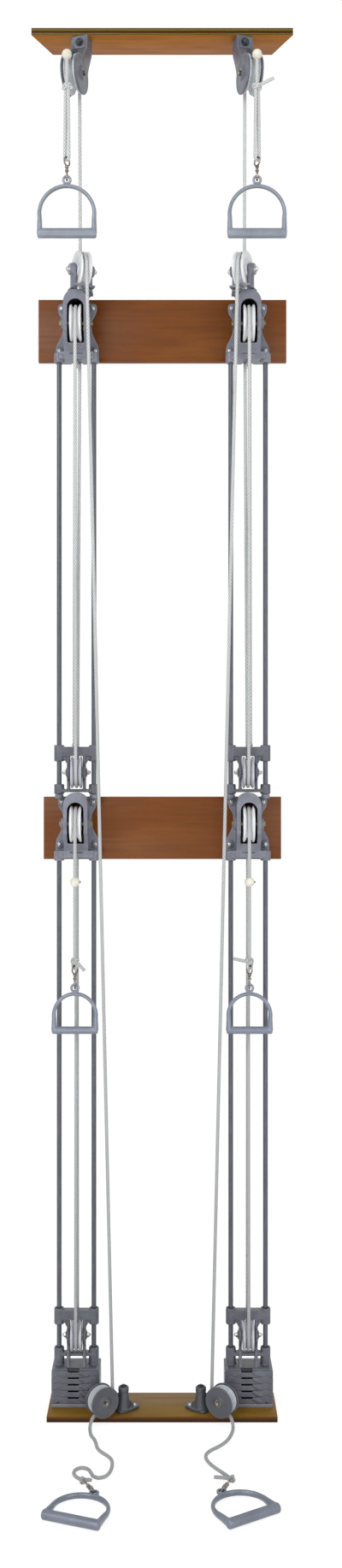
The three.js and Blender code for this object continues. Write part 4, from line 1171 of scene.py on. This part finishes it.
def screw_template():
    """A raised countersunk head that faces the user, with its cross recess, at the origin."""
    head = turned([(0, 2.4), (4.3, 0.4), (4.3, -0.4), (3.6, -1.6), (2.2, -2.3), (0, -2.6)], "y", segments=20)
    cross = [block((-2.6, 2.6), (-4, -1.0), (-0.55, 0.55)), block((-0.55, 0.55), (-4, -1.0), (-2.6, 2.6))]
    mesh = cast([head], cross, grain=0.28, softening=1, share=0.35)
    mesh.transform(Matrix.Scale(MM, 4))
    template = stand("screw_template", mesh)
    template.hide_render = True
    return template


SCREW = screw_template()


def screws(name, side, places, head, seed):
    dots = bpy.data.meshes.new("dots")
    dots.from_pydata([metres(side, p) for p in places], [], [])
    mesh = grown(name, dots, SCREW_TREE, {"Screw": SCREW, "Head Size": head, "Seed": seed, "Finish": ZINC})
    keep(name, mesh, ZINC, FRAME_BODY)


def alike(mesh, side):
    """The mesh turned over for the left column, so that both columns get it the same way round."""
    if SIDES[side] > 0:
        return mesh
    copy = mesh.copy()
    copy.transform(Matrix.Diagonal((-1, 1, 1, 1)))
    copy.flip_normals()
    return copy


WHEELS = {"large": wheel_mesh(LARGE), "small": wheel_mesh(SMALL), "floor": wheel_mesh(FLOOR_WHEEL)}


def sheaves(side):
    wheels = [
        ("guide", "large", WHITE_NYLON, "white_nylon"),
        ("overhead", "large", GREY_NYLON, "grey_nylon"),
        ("floor", "floor", GREY_NYLON, "grey_nylon"),
        ("upper_bracket", "large", WHITE_NYLON, "white_nylon"),
        ("chest_bracket", "large", WHITE_NYLON, "white_nylon"),
        # The carriages' sheaves are white nylon, in its painted-shade copy.
        ("upper_carriage", "small", SHADED_NYLON, "white_nylon"),
        ("chest_carriage", "small", SHADED_NYLON, "white_nylon"),
    ]
    for pulley, size, finish, slot in wheels:
        node = f"{pulley}_sheave"
        part(f"{node}_wheel", side, WHEELS[size], at_pulley(pulley), finish, f"{node}_{side}", node)


def unit_castings(side, unit):
    """A unit's bracket and carriage, with their bolts and screws."""
    place, height = at_height(BRACKET[unit]), BRACKET[unit]
    node = "upper_bracket_and_rods" if unit == "upper" else "chest_bracket"
    part(f"{unit}_bracket_casting", side, MESHES[f"{unit}_bracket"], place, ENAMEL, node=node)
    bolt = axle_bolt(30.6, 31, 5.6, at=BRACKET_AXLE, acorn=False)
    part(f"{unit}_bracket_bolt", side, bolt, place, BRASS)
    places = [(s * x, -20.4, height + z) for x, z in SCREW_BOSSES for s in (-1, 1)]
    screws(f"{unit}_bracket_screws_{side}", side, places, 1.05, {"left": 3, "right": 8}[side])

    place, body = at_height(CARRIAGE[unit]), f"{unit}_carriage_{side}"
    casting = alike(MESHES[f"{unit}_carriage"], side)
    node = f"{unit}_carriage"
    part(f"{node}_casting", side, casting, place, ENAMEL_DARK, body, node)
    bolt = axle_bolt(21.4, 22, 5.2, at=CARRIAGE_AXLE)
    part(f"{unit}_carriage_bolt", side, bolt, place, ZINC, body)


def pulley_blocks(side):
    """The castings that carry the guide, overhead and floor sheaves, and what is bolted to them."""
    stud = mesh_of([rod(8.5, (29.8, 33), "y", STUD, 0.6), hexagon(6.4, (26.6, 30), "y", STUD),
                    dome(4.4, 26.8, -2.4, "y", STUD)])
    cap = mesh_of([turned([(0, 14), (7, 14), (7, 16.4), (5.4, 17), (4.4, 15.6), (0, 15.4)], "z", POST, 28),
                   hexagon(3.6, (15, 18.6), "z", POST)])
    screw = mesh_of([dome(4.4, -28.4, 2.6, "z", (POST[0], -78, 0), 20)])
    castings = {"guide_yoke": ENAMEL, "overhead_block": ENAMEL_TOP, "floor_block": ENAMEL_FLOOR}
    fittings = {
        "guide_yoke": [("guide_bolt", axle_bolt(25.4, 26, 6), ZINC, "chrome")],
        "overhead_block": [("overhead_bolt", axle_bolt(19, 20, 5.4), CHROME, "chrome"),
                           ("overhead_stud", stud, DARK_STEEL, "grey_enamel")],
        "floor_block": [("floor_bolt", axle_bolt(15.4, 16, 4.8, 4.5), CHROME, "chrome"),
                        ("floor_post_cap", cap, DARK_STEEL, "grey_enamel"),
                        ("floor_foot_screw", screw, ZINC, "chrome")],
    }
    for node, enamel in castings.items():
        place = at_pulley(node.split("_")[0])
        part(f"{node}_casting", side, MESHES[node], place, enamel, node=node)
        for name, mesh, finish, slot in fittings[node]:
            part(name, side, mesh, place, finish)


def stack_column(side):
    """Rods, weight plates and the foot of a stack."""
    foot_node = "foot_block_and_rods"
    for unit, node in (("upper", "upper_bracket_and_rods"), ("lower", foot_node)):
        rods = mesh_of(round_rods(ROD["radius"], ROD_ENDS[unit], 0.6))
        part(f"{unit}_rods", side, rods, None, RODS, node=node)
    foot = block((-PLATE["half"], PLATE["half"]), (PLATE["front"], PLATE["back"]), (12.3, 20.3))
    part("stack_foot", side, bevelled([foot], 0.9), None, ENAMEL_DARK, node=foot_node)
    for number in range(1, 5):
        place = at_height(PLATE["first"] + (4 - number) * PLATE["pitch"])
        node, mesh = f"weight_plate_{number}", alike(MESHES["plate"], side)
        part(f"plate_{number}", side, mesh, place, ENAMEL_DARK, f"{node}_{side}", node)


# Ropes: still runs, strands that shorten, strands that are pulled out, and pendants

def shortening(name, side, ends):
    """A strand between a fixed upper end and a carriage that rises to meet it."""
    piece = rope_piece(name, side, [[Vector(p) for p in ends]])
    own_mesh(piece)


def pulled(station, side, start, end):
    """A strand that is pulled out between its sheave and its pendant."""
    start, end = Vector(start), Vector(end)
    piece = rope_piece(f"{station}_rope_pull", side, [[start, end]], None)
    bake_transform(piece)


def bead(name, side, place, body, screw_way):
    """A stop bead on the rope, with its set screw to one side."""
    radius = ROPE["bead"]
    angles = [math.radians(-70 + 14 * i) for i in range(11)]
    profile = [(3.4, -9.4)] + [(radius * math.cos(a), radius * math.sin(a)) for a in angles] + [(3.4, 9.4)]
    shell, at = turned(profile, "z", segments=40, ring=True), Matrix.Translation(place)
    part(name, side, mesh_of([shell]), at, CREAM, body)
    screw = mesh_of([rod(1.9, (screw_way * 9, screw_way * 12), "x", (0, 0, 0), 0.4, 16)])
    part(f"{name}_screw", side, screw, at, DARK_STEEL, body)


def pendant_rope(station, side, place, heights, start, tie, screw_way):
    """A rope's doubled end: strand, bead, knot, loose end, and the loop through the hook's ring."""
    body = f"{station}_hook_{side}"
    knot = Vector((*place.xy, heights["knot"]))
    tail = smoothed([knot] + [knot + Vector(way) for way in LOOSE_ENDS[station, side]], 4)
    strand = [Vector((*place.xy, start)), knot]
    loop = ring_pendant(place.x, place.y, heights["knot"], heights["ring"])
    rope_piece(f"{station}_pendant", side, [strand, loop, knot_path(knot, *tie), tail], body)
    bead(f"{station}_bead", side, (*place.xy, heights["bead"]), body, screw_way)


def behind_bracket(across, rise):
    """A point on a strand behind the upper bracket's sheave, at a height above its axle."""
    return Vector((across, -STRAND["depth"], BRACKET["upper"] + rise))


def falling(points, steps=14):
    """A rope's way from its sheave into the vertical, in the overhead pulley's plane."""
    line = []
    for i in range(1, steps + 1):
        t = i / steps
        weights = [(1 - t) ** 3, 3 * t * (1 - t) ** 2, 3 * t * t * (1 - t), t ** 3]
        line.append(in_plane("overhead", *(sum(w * p[k] for w, p in zip(weights, points)) for k in (0, 1))))
    return line


def overhead_ropes(side):
    """From the hook over the overhead sheave, under the carriage's, and over the bracket's to a knot."""
    reach = OVERHEAD["reach"]
    hang = in_plane("overhead", reach, 0)
    foot = behind_bracket(-STRAND["spread"], FOOT)
    run = [foot, behind_bracket(-STRAND["spread"], 30), Vector((-6.6, -19.25, BRACKET["upper"] + 71.3))]
    run += wrap("overhead", LARGE["seat"], 180, OVERHEAD["release"])
    run += falling([(11.46, 31.48), (32, 24), (reach, 28), (reach, 16)])
    rope_piece("overhead_rope_run", side, [run], node="overhead_rope")
    dead_end = Vector((0, -26, foot.z - 6.9))
    top = wrap("upper_bracket", LARGE["seat"], 0, 180) + [dead_end]
    rope_piece("overhead_rope_top", side, [top, knot_path(dead_end, 1.0)])
    low = wrap("upper_carriage", SMALL["seat"], 180, 360)
    rope_piece("overhead_rope_turn", side, [low], f"upper_carriage_{side}")
    shortening("overhead_rope_back", side, [foot, low[0]])
    shortening("overhead_rope_front", side, [top[0], low[-1]])
    below_bead = OVERHEAD["bead"] - 6
    pulled("overhead", side, (*hang.xy, OVERHEAD["bead"] - 2), (*hang.xy, below_bead))
    pendant_rope("overhead", side, hang, OVERHEAD, below_bead, (2.6, (0.25, 0.15, 0.0)), -1)


def chest_ropes(side):
    """From the hook over the bracket's sheave, under the carriage's, and up to a knot in the casting."""
    foot = BRACKET["chest"] + FOOT
    over = wrap("chest_bracket", LARGE["seat"], 0, 180)
    low = wrap("chest_carriage", SMALL["seat"], 180, 360)
    back, front = over[-1], over[0]
    passing = back.lerp(low[0], (back.z - foot) / (back.z - low[0].z))
    rope_piece("chest_rope_run", side, [over + [passing]], node="chest_rope")
    tie = Vector((0, -46, BRACKET["chest"] - 55.8))
    under = Vector((0, -46.3, foot))
    rope_piece("chest_rope_tie", side, [[under, tie], knot_path(tie, 0.8)])
    rope_piece("chest_rope_turn", side, [low], f"chest_carriage_{side}")
    shortening("chest_rope_back", side, [passing, low[0]])
    shortening("chest_rope_front", side, [under, low[-1]])
    pulled("chest", side, front, (*front.xy, CHEST["bead"]))
    pendant_rope("chest", side, front, CHEST, CHEST["bead"], (2.3,), SIDES[side])


def floor_ropes(side):
    """From the carriage up behind the bracket's sheave, over the guide, and down to the floor block."""
    tied = Vector((STRAND["spread"], -ROD["depth"], CARRIAGE["upper"] + 57.2))
    top = behind_bracket(STRAND["spread"], FOOT)
    run = [top, behind_bracket(STRAND["spread"], 30)] + wrap("guide", LARGE["seat"], 180, 0)
    run += wrap("floor", FLOOR_WHEEL["seat"], 0, -90) + [in_plane("floor", -10, -FLOOR_WHEEL["seat"])]
    rope_piece("floor_rope_run", side, [run], node="floor_rope")
    rope_piece("floor_rope_tie", side, [knot_path(tied, 0.75)], f"upper_carriage_{side}")
    shortening("floor_rope_back", side, [top, tied + Vector((0, 0, 4.5))])


def hooks_and_handles(side):
    places = [("overhead", in_plane("overhead", OVERHEAD["reach"], 0), OVERHEAD["ring"]),
              ("chest", in_plane("chest_bracket", LARGE["seat"], 0), CHEST["ring"])]
    for station, place, ring in places:
        at, eye = (Matrix.Translation((*place.xy, height)) for height in (ring, ring - EYE_HANGS))
        hook, handle = f"{station}_hook", f"{station}_handle"
        part(f"{station}_snap_hook", side, HOOK, at, CHROME, f"{hook}_{side}", hook)
        part(f"{station}_grip", side, HANDLES[station], eye, SILVER_LIT_AND_SHADED[station],
             f"{handle}_{side}", handle)


for wing in SIDES:
    sheaves(wing)
    for unit in BRACKET:
        unit_castings(wing, unit)
    pulley_blocks(wing)
    stack_column(wing)
    overhead_ropes(wing)
    chest_ropes(wing)
    floor_ropes(wing)
    hooks_and_handles(wing)

bpy.data.objects.remove(SCREW, do_unlink=True)
